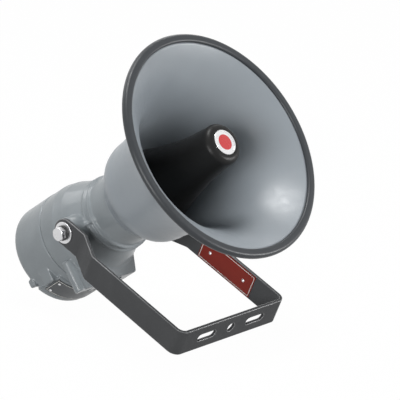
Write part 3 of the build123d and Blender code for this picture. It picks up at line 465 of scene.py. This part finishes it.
front_groove = GROOVE_STATION - HALF_GROOVE
rear_groove = GROOVE_STATION + HALF_GROOVE
outline = [(0, HOUSING_FRONT), (NECK, HOUSING_FRONT)]
outline += arc_over((GROOVE_FLOOR, front_groove - BEAD_WIDTH), (GROOVE_FLOOR, front_groove),
                    FRONT_BEAD_RISE)
outline += arc_over((GROOVE_FLOOR, rear_groove), (BEAD_FOOT, rear_groove + BEAD_WIDTH),
                    REAR_BEAD_RISE)
outline += SHOULDER + [(BARREL, HOUSING_REAR - BARREL_BREAK),
                       (BARREL - BARREL_BREAK, HOUSING_REAR), (0, HOUSING_REAR)]
housing = turn("cast_front_housing", outline)
print(housing.name, "core", len(housing.data.polygons), "faces")

# %% [markdown]
# A round boss on each side takes a pivot bolt, and a thin web along the mould's parting
# line ties it to the beads. The web is an outline seen from above, filled and extruded.

# %% Pivot bosses and their webs
BOSS = 16.0
BOSS_ROOT = 44.0
BOSS_FACE = 62.8
BOSS_ROUND = 1.2
WEB_TOP = 1.0
WEB_THICKNESS = 4.0
WEB_ROOT = 30.0
WEB_BEAD = 45.4
WEB_TIP = BOSS_FACE - 3
WEB_LINE = [(WEB_ROOT, -28.5), (42.4, -28.5), (WEB_BEAD, -25), (WEB_BEAD, -19),
            (WEB_TIP, -9.6), (WEB_TIP, 0), (WEB_ROOT, 0)]

for side in (-1, 1):
    ends = sorted((side * BOSS_ROOT, side * BOSS_FACE))
    boss = rod("Boss", BOSS, *ends, "X")
    soften(boss, BOSS_ROUND, 2)
    combine(housing, boss)
    web = extruded("Web", [(side * x, y) for x, y in WEB_LINE], (0, 0, WEB_TOP),
                   (0, 0, -WEB_THICKNESS))
    combine(housing, web)
print(housing.name, "with bosses and webs", len(housing.data.polygons), "faces")

# %% [markdown]
# Underneath stand the block that takes the conduit's thread and, on one side, a round lug
# that a web ties to the block. The block's front leans forward as it rises into the
# shoulder, so the block is its side view, extruded, where the lug's web is a plain box.

# %% Conduit block and lug
FOOT_DROP = 63.6
FOOT_TOP = -26.0
BLOCK_HALF_WIDTH = 28.7
BLOCK_FRONT = 16.0
BLOCK_FRONT_TOP = -0.9
BLOCK_REAR = 46.0
BLOCK_ROUND = 2.0
LUG = 6.6
LUG_PLACE = -50.5
LUG_STATION = 32.0
LUG_ROUND = 0.8
LUG_WEB_HALF = 5.0

side_view = [(0, BLOCK_FRONT, -FOOT_DROP), (0, BLOCK_REAR, -FOOT_DROP), (0, BLOCK_REAR, FOOT_TOP),
             (0, BLOCK_FRONT_TOP, FOOT_TOP)]
conduit_block = extruded("Conduit block", side_view, (-BLOCK_HALF_WIDTH, 0, 0),
                         (2 * BLOCK_HALF_WIDTH, 0, 0))
soften(conduit_block, BLOCK_ROUND)
combine(housing, conduit_block)
lug = rod("Lug", LUG, -FOOT_DROP, FOOT_TOP, "Z", (LUG_PLACE, LUG_STATION, 0))
soften(lug, LUG_ROUND, 2)
combine(housing, lug)
combine(housing, block("Lug web", (LUG_PLACE, LUG_STATION - LUG_WEB_HALF, -FOOT_DROP),
                       (0, LUG_STATION + LUG_WEB_HALF, FOOT_TOP)))
print(housing.name, "with block and lug", len(housing.data.polygons), "faces")

# %% [markdown]
# A casting has no sharp inner corner, so the joined solids are remeshed in small cells
# and smoothed, which melts them into one another as the pattern maker's wax fillets do.
# The conduit's hole and the bolt holes are machined afterwards, and so keep sharp rims.

# %% One casting
CAST_CELL = 0.9
CAST_PASSES = 2
CONDUIT = 12.6
CONDUIT_STATION = 31.0
CONDUIT_DEPTH = 15.0
BOLT_BORE = 4.8
BORE_END = 51.0
OVERRUN = 1.0


def melt(piece, cell=CAST_CELL, passes=CAST_PASSES):
    """Round every corner of joined solids as a casting has them."""
    work(piece, "REMESH", mode="VOXEL", voxel_size=cell * MM, use_smooth_shade=True)
    work(piece, "SMOOTH", factor=0.5, iterations=passes)


melt(housing)
conduit = rod("Conduit hole", CONDUIT, -FOOT_DROP - OVERRUN, -FOOT_DROP + CONDUIT_DEPTH, "Z",
              (0, CONDUIT_STATION, 0))
combine(housing, conduit, "DIFFERENCE")
for side in (-1, 1):
    ends = sorted((side * BORE_END, side * (BOSS_FACE + OVERRUN)))
    combine(housing, rod("Bolt hole", BOLT_BORE, *ends, "X"), "DIFFERENCE")
smooth(housing)
lay(housing, on_speaker, "speaker", "cast_grey", "front_housing")

# %% [markdown]
# The rear cover screws into the housing. It is a thick cup with a raised pad underneath for
# the rating plate and upright lugs for the bar that tightens it. It is made as the housing
# was: turned and plain solids are joined first, and melted into one casting afterwards.

# %% The rear cover
COVER = 57.5
COVER_END = 99.5
COVER_ROUND = 9.0
SEAM_ROUND = 1.6
PAD = 60.5
PAD_ROOT = 40.0
PAD_FRONT = 55.0
PAD_ROUND = 1.5
PAD_STEPS = 48
PAD_HALF_ANGLE = radians(53.5)
GRIP_ROOT = 34.0
GRIP_FACE = 54.5
GRIP_ROUND = 1.8
GRIPS = ((61.0, 78.0, -37.0, -15.0), (90.5, COVER_END, -31.0, -21.0))


def turned_under(piece, half_angle):
    """Turn an arc that starts at +X so that its middle is at the bottom."""
    move(piece, Matrix.Rotation(pi / 2 + half_angle, 4, "Y"))


corners = [(0, HOUSING_REAR), (COVER, HOUSING_REAR), (COVER, COVER_END), (0, COVER_END)]
cover = turn("cast_rear_cover", rounded(corners, (0, SEAM_ROUND, COVER_ROUND, 0), FINE_CORNER))
corners = [(PAD_ROOT, PAD_FRONT), (PAD, PAD_FRONT), (PAD, COVER_END), (PAD_ROOT, COVER_END)]
pad_line = closed(rounded(corners, (0, PAD_ROUND, COVER_ROUND, 0)))
pad = turn("Pad", pad_line, 2 * PAD_HALF_ANGLE, PAD_STEPS, capped=True)
turned_under(pad, PAD_HALF_ANGLE)
combine(cover, pad)
for side in (-1, 1):
    ends = sorted((side * GRIP_ROOT, side * GRIP_FACE))
    for front, rear, low, high in GRIPS:
        grip = block("Grip", (ends[0], front, low), (ends[1], rear, high))
        soften(grip, GRIP_ROUND)
        combine(cover, grip)
melt(cover)
smooth(cover)
lay(cover, on_speaker, "speaker", "cast_grey", "rear_cover")

# %% [markdown]
# The rating plate is thin dark sheet, rolled to the pad's curve and pinned at its corners,
# with a pale line etched round its edge. A flat sheet could be bent, but a small rectangle
# turned through an arc, as the pad is, fits the pad at once.

# %% The rating plate
PLATE_SEAT = 60.6
PLATE = 0.8
PLATE_FRONT = 58.5
PLATE_LENGTH = 27.0
PLATE_STEPS = 64
PLATE_HALF_ANGLE = radians(51.5)
OUTER_RADIUS = (PLATE_SEAT + 0.7) * MM


def is_outer(face):
    return Vector((face.center.x, face.center.z)).length > OUTER_RADIUS


plate_top = PLATE_SEAT + PLATE
plate_rear = PLATE_FRONT + PLATE_LENGTH
corners = [(PLATE_SEAT, PLATE_FRONT), (plate_top, PLATE_FRONT), (plate_top, plate_rear),
           (PLATE_SEAT, plate_rear)]
rating = turn("etched_rating_plate", closed(corners), 2 * PLATE_HALF_ANGLE, PLATE_STEPS,
              capped=True)
turned_under(rating, PLATE_HALF_ANGLE)
rating_lines = etch(rating, is_outer)
smooth(rating, CRISP_ANGLE)
lay(rating, on_speaker, "speaker", "plate_metal", "rating_plate")

# %% [markdown]
# The bracket is one steel strap, cut flat and folded in a press. Its centre line is traced
# with the bends as arcs, extruded across the strap's width and thickened to both sides,
# which keeps the thickness even through every bend. It is then trimmed by its side view, so
# that both ends come out round.

# %% The folded strap
STRAP_WIDTH = 31.0
STRAP = 4.0
ARM_LENGTH = 207.0
HALF_WIDTH = 87.9
ARM_TOP_INNER = 62.9
JOGGLE_TOP = -26.5
JOGGLE_END = -61.5
JOGGLE_BEND = 8
BAR_BEND = 9
BEND_STEPS = 10
ROUND_END_STEPS = 32
CLEAR = 1.0
top_x = ARM_TOP_INNER + STRAP / 2
low_x = HALF_WIDTH - STRAP / 2
bar_z = STRAP / 2 - ARM_LENGTH
half_strip = STRAP_WIDTH / 2
arm = [(top_x, half_strip), (top_x, JOGGLE_TOP), (low_x, JOGGLE_END), (low_x, bar_z)]
arm_bends = [0, JOGGLE_BEND, JOGGLE_BEND, BAR_BEND]
corners = [(-x, z) for x, z in arm] + arm[::-1]
line = rounded(corners, arm_bends + arm_bends[::-1], BEND_STEPS)
strap = draw_line("folded_strap", [(x, -half_strip, z) for x, z in line])
bpy.ops.mesh.extrude_region_move(TRANSFORM_OT_translate={"value": (0, STRAP_WIDTH * MM, 0)})
bpy.ops.mesh.select_all(action="SELECT")
bpy.ops.mesh.normals_make_consistent(inside=False)
bpy.ops.object.mode_set(mode="OBJECT")
work(strap, "SOLIDIFY", thickness=STRAP * MM, offset=0, use_even_offset=True)

round_end = [step / ROUND_END_STEPS * pi - pi / 2 for step in range(ROUND_END_STEPS + 1)]
side_line = [(0, half_strip * sin(angle), half_strip * cos(angle)) for angle in round_end]
side_line += [(0, half_strip, -ARM_LENGTH - CLEAR), (0, -half_strip, -ARM_LENGTH - CLEAR)]
reach = HALF_WIDTH + CLEAR
trimmer = extruded("Side view", side_line, (-reach, 0, 0), (2 * reach, 0, 0))
combine(strap, trimmer, "INTERSECT")
print(strap.name, "folded and trimmed", len(strap.data.polygons), "faces")

# %% [markdown]
# The pivot holes, the middle hole and the two slots are punched through. Powder coat flows
# smooth over each edge, so the bevel's faces are noted and get a glossier paint, in a
# lighter grey that paints the thin bright highlight line along the strap.

# %% Punched holes and soft edges
PIVOT_HOLE = 4.83
MIDDLE_HOLE = 5.5
SLOT_SPACING = 81.4
SLOT_LENGTH = 30.0
SLOT_WIDTH = 9.0
STRAP_ROUND = 0.8
STRAP_EDGE_ANGLE = 40
combine(strap, rod("Pivot hole", PIVOT_HOLE, -reach, reach, "X"), "DIFFERENCE")
punch = (-ARM_LENGTH - CLEAR, -ARM_LENGTH + STRAP + CLEAR)
combine(strap, rod("Middle hole", MIDDLE_HOLE, *punch, "Z"), "DIFFERENCE")
slot_reach = (SLOT_LENGTH - SLOT_WIDTH) / 2
for side in (-1, 1):
    middle = side * SLOT_SPACING / 2
    for end in (-1, 1):
        place = (middle + end * slot_reach, 0, 0)
        combine(strap, rod("Slot end", SLOT_WIDTH / 2, *punch, "Z", place), "DIFFERENCE")
    slot = block("Slot", (middle - slot_reach, -SLOT_WIDTH / 2, punch[0]),
                 (middle + slot_reach, SLOT_WIDTH / 2, punch[1]))
    combine(strap, slot, "DIFFERENCE")
for slot_number in range(2):
    strap.data.materials.append(None)
# The bevel's faces take the second slot, which gets the lighter painted-highlight finish.
soften(strap, STRAP_ROUND, angle=STRAP_EDGE_ANGLE, material=1, use_clamp_overlap=False)
strap_edges = [face.index for face in strap.data.polygons if face.material_index == 1]
smooth(strap)
lay(strap, on_bracket, "bracket", "strap_black", "bracket")

# %% [markdown]
# A bolt head is a six-sided bar whose rim is turned off, so the top face is a circle. The
# hexagon is intersected with a round bar that has a bevelled rim, since a bevel on the
# hexagon itself would follow its six sides. A plain washer and a split spring washer, which
# is a darker steel, sit under it. All three are made once and copied for the other arm.

# %% Pivot bolts and washers
HEAD_SEAT = 71.6
HEAD_HEIGHT = 6.4
HEAD_CORNER = 8.256
HEAD_TURNED = 7.9
HEAD_CHAMFER = 1.2
HEAD_ROUND = 0.25
FLAT_SEAT = 67.0
FLAT = 2.0
FLAT_RADIUS = 12.4
FLAT_ROUND = 0.5
LOCK_RADIUS = 8.6
LOCK_ROUND = 0.3
HALF_SPLIT = 0.8
SPLIT_INNER = 2.0
SPLIT_OUTER = 10.0
BOLT = 4.75
SHANK_END = 51.8
SHANK_BITE = 0.5
WASHER_BORE = BOLT + 0.05
WASHER_ANGLE = 40
FACET_ANGLE = 25


def washer(name, radius, seat, top):
    piece = rod(name, radius, seat, top, "X", sides=FINE_SIDES)
    hole = rod("Hole", WASHER_BORE, seat - OVERRUN, top + OVERRUN, "X")
    combine(piece, hole, "DIFFERENCE")
    return piece


def copied(piece, name):
    """A copy of a piece, with a mesh of its own."""
    pick_only(piece)
    bpy.ops.object.duplicate()
    bpy.context.object.name = name
    return bpy.context.object


head_top = HEAD_SEAT + HEAD_HEIGHT
flat_top = FLAT_SEAT + FLAT
head = rod("turned_bolt_near", HEAD_CORNER, HEAD_SEAT, head_top, "X", sides=6)
cup = rod("Turned rim", HEAD_TURNED, HEAD_SEAT - OVERRUN, head_top, "X", sides=FINE_SIDES)
soften(cup, HEAD_CHAMFER, 4, CRISP_ANGLE)
combine(head, cup, "INTERSECT")
combine(head, rod("Shank", BOLT, SHANK_END, HEAD_SEAT + SHANK_BITE, "X"))
soften(head, HEAD_ROUND, 2, FACET_ANGLE)
flat = washer("plain_washer_near", FLAT_RADIUS, FLAT_SEAT, flat_top)
soften(flat, FLAT_ROUND, angle=WASHER_ANGLE)
lock = washer("spring_washer_near", LOCK_RADIUS, flat_top, HEAD_SEAT)
split = block("Split", (FLAT_SEAT, -HALF_SPLIT, SPLIT_INNER),
              (HEAD_SEAT + OVERRUN, HALF_SPLIT, SPLIT_OUTER))
combine(lock, split, "DIFFERENCE")
soften(lock, LOCK_ROUND, 2, WASHER_ANGLE)

near_side = (head, flat, lock)
for piece in near_side:
    smooth(piece, CRISP_ANGLE)
far_side = [copied(piece, piece.name.replace("near", "far")) for piece in near_side]
spring_washers = (near_side[-1], far_side[-1])
for piece in near_side:
    move(piece, Matrix.Rotation(pi, 4, "Z"))
for pieces, word in ((near_side, "near"), (far_side, "far")):
    for piece, node in zip(pieces, ("pivot_bolt", "flat_washer", "lock_washer")):
        lay(piece, on_speaker, "speaker", "bright_steel", f"{node}_{word}")

# %% [markdown]
# The plate on the far arm is red enamelled metal with a pale border, held by two round
# rivets. The border could be a raised frame, but on the real plate it lies flat, so it is
# only a ring of faces between two insets, in a colour of its own. One rivet is turned,
# copied for the other end, and joined to the copy.

# %% The label plate and its rivets
LABEL_LENGTH = 83.0
LABEL_WIDTH = 28.0
LABEL = 0.8
LABEL_DROP = 121.5
RIVET_SPACING = 54.0
RIVET_STEPS = 32
FACING = 0.9
RIVET_DOME = [(0, -1.0), (0.9, -0.86), (1.6, -0.5), (2.0, 0), (0, 0)]
arm_face = HALF_WIDTH - STRAP
label_top = arm_face - LABEL
label = block("enamel_plate", (label_top, -LABEL_WIDTH / 2, -LABEL_DROP - LABEL_LENGTH / 2),
              (arm_face, LABEL_WIDTH / 2, -LABEL_DROP + LABEL_LENGTH / 2))
label_lines = etch(label, lambda face: face.normal.x < -FACING)
lay(label, on_bracket, "bracket", "label_red", "label_plate")
rivet = turn("dome_rivets", RIVET_DOME, steps=RIVET_STEPS)
smooth(rivet, DOME_ANGLE)
move(rivet, Matrix.Rotation(-pi / 2, 4, "Z"))
second_rivet = copied(rivet, "Second rivet")
for piece, end in ((rivet, -1), (second_rivet, 1)):
    place = Vector((label_top, 0, -LABEL_DROP + end * RIVET_SPACING / 2)) * MM
    move(piece, Matrix.Translation(place))
pick_only(rivet)
second_rivet.select_set(True)
bpy.ops.object.join()
lay(rivet, on_bracket, "bracket", "bright_steel", "label_rivets")

# %% [markdown]
# Effects that several finishes share are node groups, and a few short functions place
# their nodes. A value can be a number or another node's output.

# %% Placing nodes
FLOAT = "NodeSocketFloat"
COLOUR = "NodeSocketColor"


def new_group(name, inputs, output, kind):
    group = bpy.data.node_groups.new(name, "ShaderNodeTree")
    group.interface.new_socket("Vector", in_out="INPUT", socket_type="NodeSocketVector")
    for label_text, socket_kind, value in inputs:
        socket = group.interface.new_socket(label_text, in_out="INPUT", socket_type=socket_kind)
        socket.default_value = value
    group.interface.new_socket(output, in_out="OUTPUT", socket_type=kind)
    entry = group.nodes.new("NodeGroupInput")
    leave = group.nodes.new("NodeGroupOutput")
    return group, entry.outputs, leave


def feed(tree, value, socket):
    """Set a socket to a number, or link another node's output to it."""
    if isinstance(value, (int, float)):
        socket.default_value = value
    else:
        tree.links.new(value, socket)


def add_noise(tree, vector, scale, detail):
    noise = tree.nodes.new("ShaderNodeTexNoise")
    noise.inputs["Detail"].default_value = detail
    tree.links.new(vector, noise.inputs["Vector"])
    feed(tree, scale, noise.inputs["Scale"])
    return noise.outputs["Fac"]


def add_math(tree, operation, first, second):
    node = tree.nodes.new("ShaderNodeMath")
    node.operation = operation
    feed(tree, first, node.inputs[0])
    feed(tree, second, node.inputs[1])
    return node.outputs[0]


def add_range(tree, value, low, high, to_low, to_high):
    node = tree.nodes.new("ShaderNodeMapRange")
    tree.links.new(value, node.inputs["Value"])
    limits = (("From Min", low), ("From Max", high), ("To Min", to_low), ("To Max", to_high))
    for name, number in limits:
        feed(tree, number, node.inputs[name])
    return node.outputs["Result"]


# %% [markdown]
# The first group gives the pitted skin of a sand casting under enamel, from a fine and a
# coarse noise. The second shifts a colour in soft clouds. The third gives fine streaks
# that change the gloss, as handling does.

# %% Shared effects
NOISE_LOW = 0.3
NOISE_HIGH = 0.7
SKIN_DETAIL = 2.0
COARSE_SHARE = 0.22
CLOUD_DETAIL = 4.0
STREAK_DETAIL = 6.0


def vary(group, noise, middle, amount):
    """Spread a noise over a range about a middle value."""
    low = add_math(group, "SUBTRACT", middle, amount)
    high = add_math(group, "ADD", middle, amount)
    return add_range(group, noise, NOISE_LOW, NOISE_HIGH, low, high)


cast_skin, given, leave = new_group("Cast skin", [("Scale", FLOAT, 900.0)], "Height", FLOAT)
fine = add_noise(cast_skin, given["Vector"], given["Scale"], SKIN_DETAIL)
coarse_scale = add_math(cast_skin, "MULTIPLY", given["Scale"], COARSE_SHARE)
coarse = add_noise(cast_skin, given["Vector"], coarse_scale, SKIN_DETAIL)
cast_skin.links.new(add_math(cast_skin, "ADD", fine, coarse), leave.inputs["Height"])

clouded, given, leave = new_group(
    "Clouded colour",
    [("Colour", COLOUR, (1, 1, 1, 1)), ("Scale", FLOAT, 30.0), ("Amount", FLOAT, 0.1)],
    "Colour", COLOUR)
cloud = add_noise(clouded, given["Vector"], given["Scale"], CLOUD_DETAIL)
blend = clouded.nodes.new("ShaderNodeVectorMath")
blend.operation = "SCALE"
clouded.links.new(given["Colour"], blend.inputs[0])
clouded.links.new(vary(clouded, cloud, 1.0, given["Amount"]), blend.inputs["Scale"])
clouded.links.new(blend.outputs[0], leave.inputs["Colour"])

worn_gloss, given, leave = new_group(
    "Worn gloss",
    [("Roughness", FLOAT, 0.4), ("Scale", FLOAT, 120.0), ("Amount", FLOAT, 0.1)],
    "Roughness", FLOAT)
streak = add_noise(worn_gloss, given["Vector"], given["Scale"], STREAK_DETAIL)
gloss = vary(worn_gloss, streak, given["Roughness"], given["Amount"])
worn_gloss.links.new(gloss, leave.inputs["Roughness"])
print("node groups", [group.name for group in (cast_skin, clouded, worn_gloss)])

# %% [markdown]
# Every finish is a Principled shader fed by those groups, with its own colour, gloss and
# depth of skin. The patterns read Object coordinates, so they stay put when a
# piece moves with its body. A mapping stretches them for spun and brushed metal.

# %% How a finish is made
COAT_ROUGHNESS = 0.12


def place_group(material, group, vector, **values):
    node = material.node_tree.nodes.new("ShaderNodeGroup")
    node.node_tree = group
    material.node_tree.links.new(vector, node.inputs["Vector"])
    for name, value in values.items():
        node.inputs[name].default_value = value
    return node.outputs[0]


def finish(name, colour, rough, metal=0.0, cloud=(40.0, 0.06), wear=(150.0, 0.06),
           skin=(900.0, 0.0), stretch=(1, 1, 1), coat=0.0, specular=0.5):
    """A finish whose cloud, wear and skin are pairs of pattern scale and amount."""
    material = bpy.data.materials.new(name)
    material.use_nodes = True
    tree = material.node_tree
    shader = tree.nodes["Principled BSDF"]
    settings = (("Metallic", metal), ("Coat Weight", coat), ("Coat Roughness", COAT_ROUGHNESS),
                ("Specular IOR Level", specular))
    for name, value in settings:
        shader.inputs[name].default_value = value
    place = tree.nodes.new("ShaderNodeTexCoord").outputs["Object"]
    mapping = tree.nodes.new("ShaderNodeMapping")
    mapping.vector_type = "TEXTURE"
    mapping.inputs["Location"].default_value = PIVOT
    mapping.inputs["Rotation"].default_value = (-ELEVATION, 0, 0)
    mapping.inputs["Scale"].default_value = stretch
    tree.links.new(place, mapping.inputs["Vector"])
    vector = mapping.outputs["Vector"]
    colour_out = place_group(material, clouded, vector, Colour=(*colour, 1), Scale=cloud[0],
                             Amount=cloud[1])
    tree.links.new(colour_out, shader.inputs["Base Color"])
    rough_out = place_group(material, worn_gloss, vector, Roughness=rough, Scale=wear[0],
                            Amount=wear[1])
    tree.links.new(rough_out, shader.inputs["Roughness"])
    if skin[1]:
        bump = tree.nodes.new("ShaderNodeBump")
        bump.inputs["Distance"].default_value = skin[1] * MM
        height_out = place_group(material, cast_skin, vector, Scale=skin[0])
        tree.links.new(height_out, bump.inputs["Height"])
        tree.links.new(bump.outputs["Normal"], shader.inputs["Normal"])
    return material


# %% [markdown]
# The two grey enamels differ a little: the casting's is rougher under a thin clear coat,
# the spun bell's is smoother and paler. The black strap and the red plate are nearly
# matt, and each metal inside has its own colour and grain.

# %% The finishes
ALONG_HORN = (1, 0.05, 1)
ACROSS_BADGE = (1, 1, 0.05)
finish_of = {
    "cast_grey": finish("Cast enamel", (0.25, 0.275, 0.29), 0.36, skin=(800.0, 0.1), coat=0.25,
                        specular=0.25),
    "horn_grey": finish("Spun enamel", (0.275, 0.305, 0.332), 0.34, cloud=(18.0, 0.04),
                        skin=(1500.0, 0.02), specular=0.6),
    "edge_rubber": finish("Edging rubber", (0.038, 0.042, 0.047), 0.36, skin=(1500.0, 0.01),
                          specular=0.3),
    "cone_black": finish("Cone plastic", (0.012, 0.012, 0.012), 0.36, skin=(1800.0, 0.01),
                         specular=0.16),
    "badge": finish("Badge silver", (0.8, 0.8, 0.81), 0.25, metal=1.0, stretch=ACROSS_BADGE),
    "bright_steel": finish("Bright zinc", (0.62, 0.62, 0.63), 0.3, metal=1.0,
                           skin=(900.0, 0.02)),
    "strap_black": finish("Strap paint", (0.085, 0.087, 0.09), 0.45, skin=(1200.0, 0.04),
                          specular=0.03),
    "label_red": finish("Label enamel", (0.22, 0.028, 0.02), 0.45, skin=(1500.0, 0.01),
                        specular=0.15),
    "plate_metal": finish("Etched plate", (0.075, 0.08, 0.085), 0.4, metal=0.3,
                          skin=(700.0, 0.03)),
    "tube_metal": finish("Machined alloy", (0.6, 0.61, 0.63), 0.35, metal=1.0,
                         stretch=ALONG_HORN),
    "soft_iron": finish("Plated iron", (0.5, 0.5, 0.52), 0.4, metal=1.0),
    "ferrite": finish("Ferrite", (0.07, 0.07, 0.075), 0.6, skin=(700.0, 0.1)),
    "copper": finish("Enamelled copper", (0.55, 0.2, 0.08), 0.35, metal=0.8,
                     stretch=ALONG_HORN),
    "sintered": finish("Sintered bronze", (0.38, 0.25, 0.12), 0.6, metal=0.9,
                       skin=(900.0, 0.2)),
    "film": finish("Phenolic film", (0.3, 0.17, 0.07), 0.4),
    "seal_rubber": finish("Seal rubber", (0.03, 0.03, 0.03), 0.55, skin=(900.0, 0.03)),
    "block_plastic": finish("Moulded block", (0.03, 0.03, 0.034), 0.45, skin=(1200.0, 0.03)),
}
# The strap's edge paint is glossier and also lighter than the strap: a painted highlight along
# its edges.
strap_edge_highlight = finish("Strap edge painted highlight", (0.15, 0.153, 0.158), 0.25, specular=0.6)
spring_steel = finish("Spring steel", (0.07, 0.07, 0.07), 0.35, metal=1.0)
label_border = finish("Label border", (0.7, 0.69, 0.66), 0.45)
roundel_red = finish("Roundel enamel", (0.55, 0.02, 0.025), 0.25, coat=0.5)
print("finishes", len(finish_of) + 4)

# %% [markdown]
# Each piece and each CAD node takes the finish of its slot. The roundel and the spring
# washers then swap theirs, and the etched lines and the strap's edges take a second one.
# The strap's second finish is a lighter grey that paints a highlight along its edges.

# %% Which piece gets which finish


def paint(piece, material):
    piece.data.materials.clear()
    piece.data.materials.append(material)


for row in frame["record"]["subparts"]:
    finishes.setdefault(row["material_slot"], []).append(frame["nodes"][row["node"]])
for slot_name, pieces in finishes.items():
    for piece in pieces:
        paint(piece, finish_of[slot_name])
paint(roundel, roundel_red)
for lock in spring_washers:
    paint(lock, spring_steel)
second_finishes = ((label, label_border, label_lines), (rating, label_border, rating_lines),
                   (strap, strap_edge_highlight, strap_edges))
for piece, material, numbers in second_finishes:
    piece.data.materials.append(material)
    for number in numbers:
        piece.data.polygons[number].material_index = 1
    print(piece.name, "second finish on", len(numbers), "faces")

# %% [markdown]
# The camera is a long lens a few metres away, fitted to the photograph's ellipses and
# edges. Its three axes are worked out from two angles, and the offsets shift it across
# its own view so that the pivot lands where it does in the picture.

# %% Camera
LENS_PIXELS = 3076.4
FRAME_PIXELS = 400
SENSOR = 36.0
AZIMUTH = radians(-49.13)
RISE = radians(15.0)
OFFSET_RIGHT = 107.57
OFFSET_UP = 23.21
DISTANCE = 3479.98
FAR_CLIP = 50
right = Vector((cos(AZIMUTH), sin(AZIMUTH), 0))
towards = Vector((sin(AZIMUTH) * cos(RISE), -cos(AZIMUTH) * cos(RISE), sin(RISE)))
up = towards.cross(right)
bpy.ops.object.camera_add()
camera = bpy.context.object
camera.data.sensor_width = SENSOR
camera.data.lens = LENS_PIXELS / FRAME_PIXELS * SENSOR
camera.data.clip_end = FAR_CLIP
eye = PIVOT + (right * OFFSET_RIGHT + up * OFFSET_UP + towards * DISTANCE) * MM
axes = Matrix((right, up, towards)).transposed().to_4x4()
camera.matrix_world = Matrix.Translation(eye) @ axes
bpy.context.scene.camera = camera
print("camera at", eye)

# %% [markdown]
# The speaker stands on pale paper. Light Path decides how it shows: to the camera, directly
# or in a reflection, it is nearly white, while it lights the object only as dull paper
# would. It stays partly matt, so that the shadow still shows on it.

# %% Floor
FLOOR_SIZE = 12.0
PAPER = 0.12
PAPER_WHITE = 0.87
PAPER_GLOW = 1.13
bpy.ops.object.select_all(action="DESELECT")
bpy.ops.mesh.primitive_plane_add(size=FLOOR_SIZE, location=(0, 0, cad_box[0][2]))
stage_floor = bpy.context.object
stage_floor.name = "Studio floor"


def seen_rays(tree):
    """A mask that is 1 for camera, glossy and transmission rays."""
    path = tree.nodes.new("ShaderNodeLightPath").outputs
    straight = add_math(tree, "MAXIMUM", path["Is Camera Ray"], path["Is Transmission Ray"])
    return add_math(tree, "MAXIMUM", straight, path["Is Glossy Ray"])


paper = bpy.data.materials.new("Studio paper")
paper.use_nodes = True
tree = paper.node_tree
tree.nodes.clear()
output = tree.nodes.new("ShaderNodeOutputMaterial")
matt = tree.nodes.new("ShaderNodeBsdfDiffuse")
matt.inputs["Color"].default_value = (PAPER, PAPER, PAPER, 1)
glow = tree.nodes.new("ShaderNodeEmission")
glow.inputs["Strength"].default_value = PAPER_GLOW
mix = tree.nodes.new("ShaderNodeMixShader")
tree.links.new(add_math(tree, "MULTIPLY", seen_rays(tree), PAPER_WHITE), mix.inputs["Fac"])
tree.links.new(matt.outputs[0], mix.inputs[1])
tree.links.new(glow.outputs[0], mix.inputs[2])
tree.links.new(mix.outputs[0], output.inputs["Surface"])
stage_floor.data.materials.append(paper)
print("floor at", cad_box[0][2])

# %% [markdown]
# The world is made in the same way: white where it is seen, and a tenth of that where it
# lights the object. A world that lit it as brightly as it looks would wash out the shadows.

# %% World
SKY_LIGHT = 0.1
world = bpy.context.scene.world or bpy.data.worlds.new("Studio")
bpy.context.scene.world = world
world.use_nodes = True
tree = world.node_tree
tree.nodes.clear()
output = tree.nodes.new("ShaderNodeOutputWorld")
sky = tree.nodes.new("ShaderNodeBackground")
sky.inputs["Color"].default_value = (1, 1, 1, 1)
strength = add_range(tree, seen_rays(tree), 0.0, 1.0, SKY_LIGHT, 1.0)
tree.links.new(strength, sky.inputs["Strength"])
tree.links.new(sky.outputs[0], output.inputs["Surface"])
print("world light", SKY_LIGHT)

# %% [markdown]
# Five lamps light it. The overhead one makes the top surfaces bright, the two behind draw
# the bands on the shoulder and beads, and the two in front light the bell's inside. They
# are broad, because a small lamp would show as a hard square in the enamel. Each row gives
# a lamp's place about a point near the horn's middle, its width, height and power.

# %% Lamps
AIM = PIVOT + Vector((0, -0.05, 0.05))
LAMPS = (("Overhead", (0.1, 0.15, 2.1), 0.9, 0.9, 28.0),
         ("Back", (-0.1, 1.8, 1.4), 1.4, 0.45, 7.0),
         ("Back right", (1.75, 0.9, 1.37), 0.7, 0.7, 6.0),
         ("Left", (-2.25, -0.7, 0.35), 1.2, 0.8, 38.0),
         ("Front", (1.35, -2.0, -0.02), 1.4, 1.0, 66.0))
for name, offset, width, height, power in LAMPS:
    place = AIM + Vector(offset)
    bpy.ops.object.light_add(type="AREA", location=place)
    lamp = bpy.context.object
    lamp.name = name
    lamp.data.shape = "RECTANGLE"
    lamp.data.size = width
    lamp.data.size_y = height
    lamp.data.energy = power
    lamp.rotation_euler = (AIM - place).to_track_quat("-Z", "Y").to_euler()
    print("lamp", name, power, "W")
bpy.context.scene.view_settings.view_transform = "Standard"
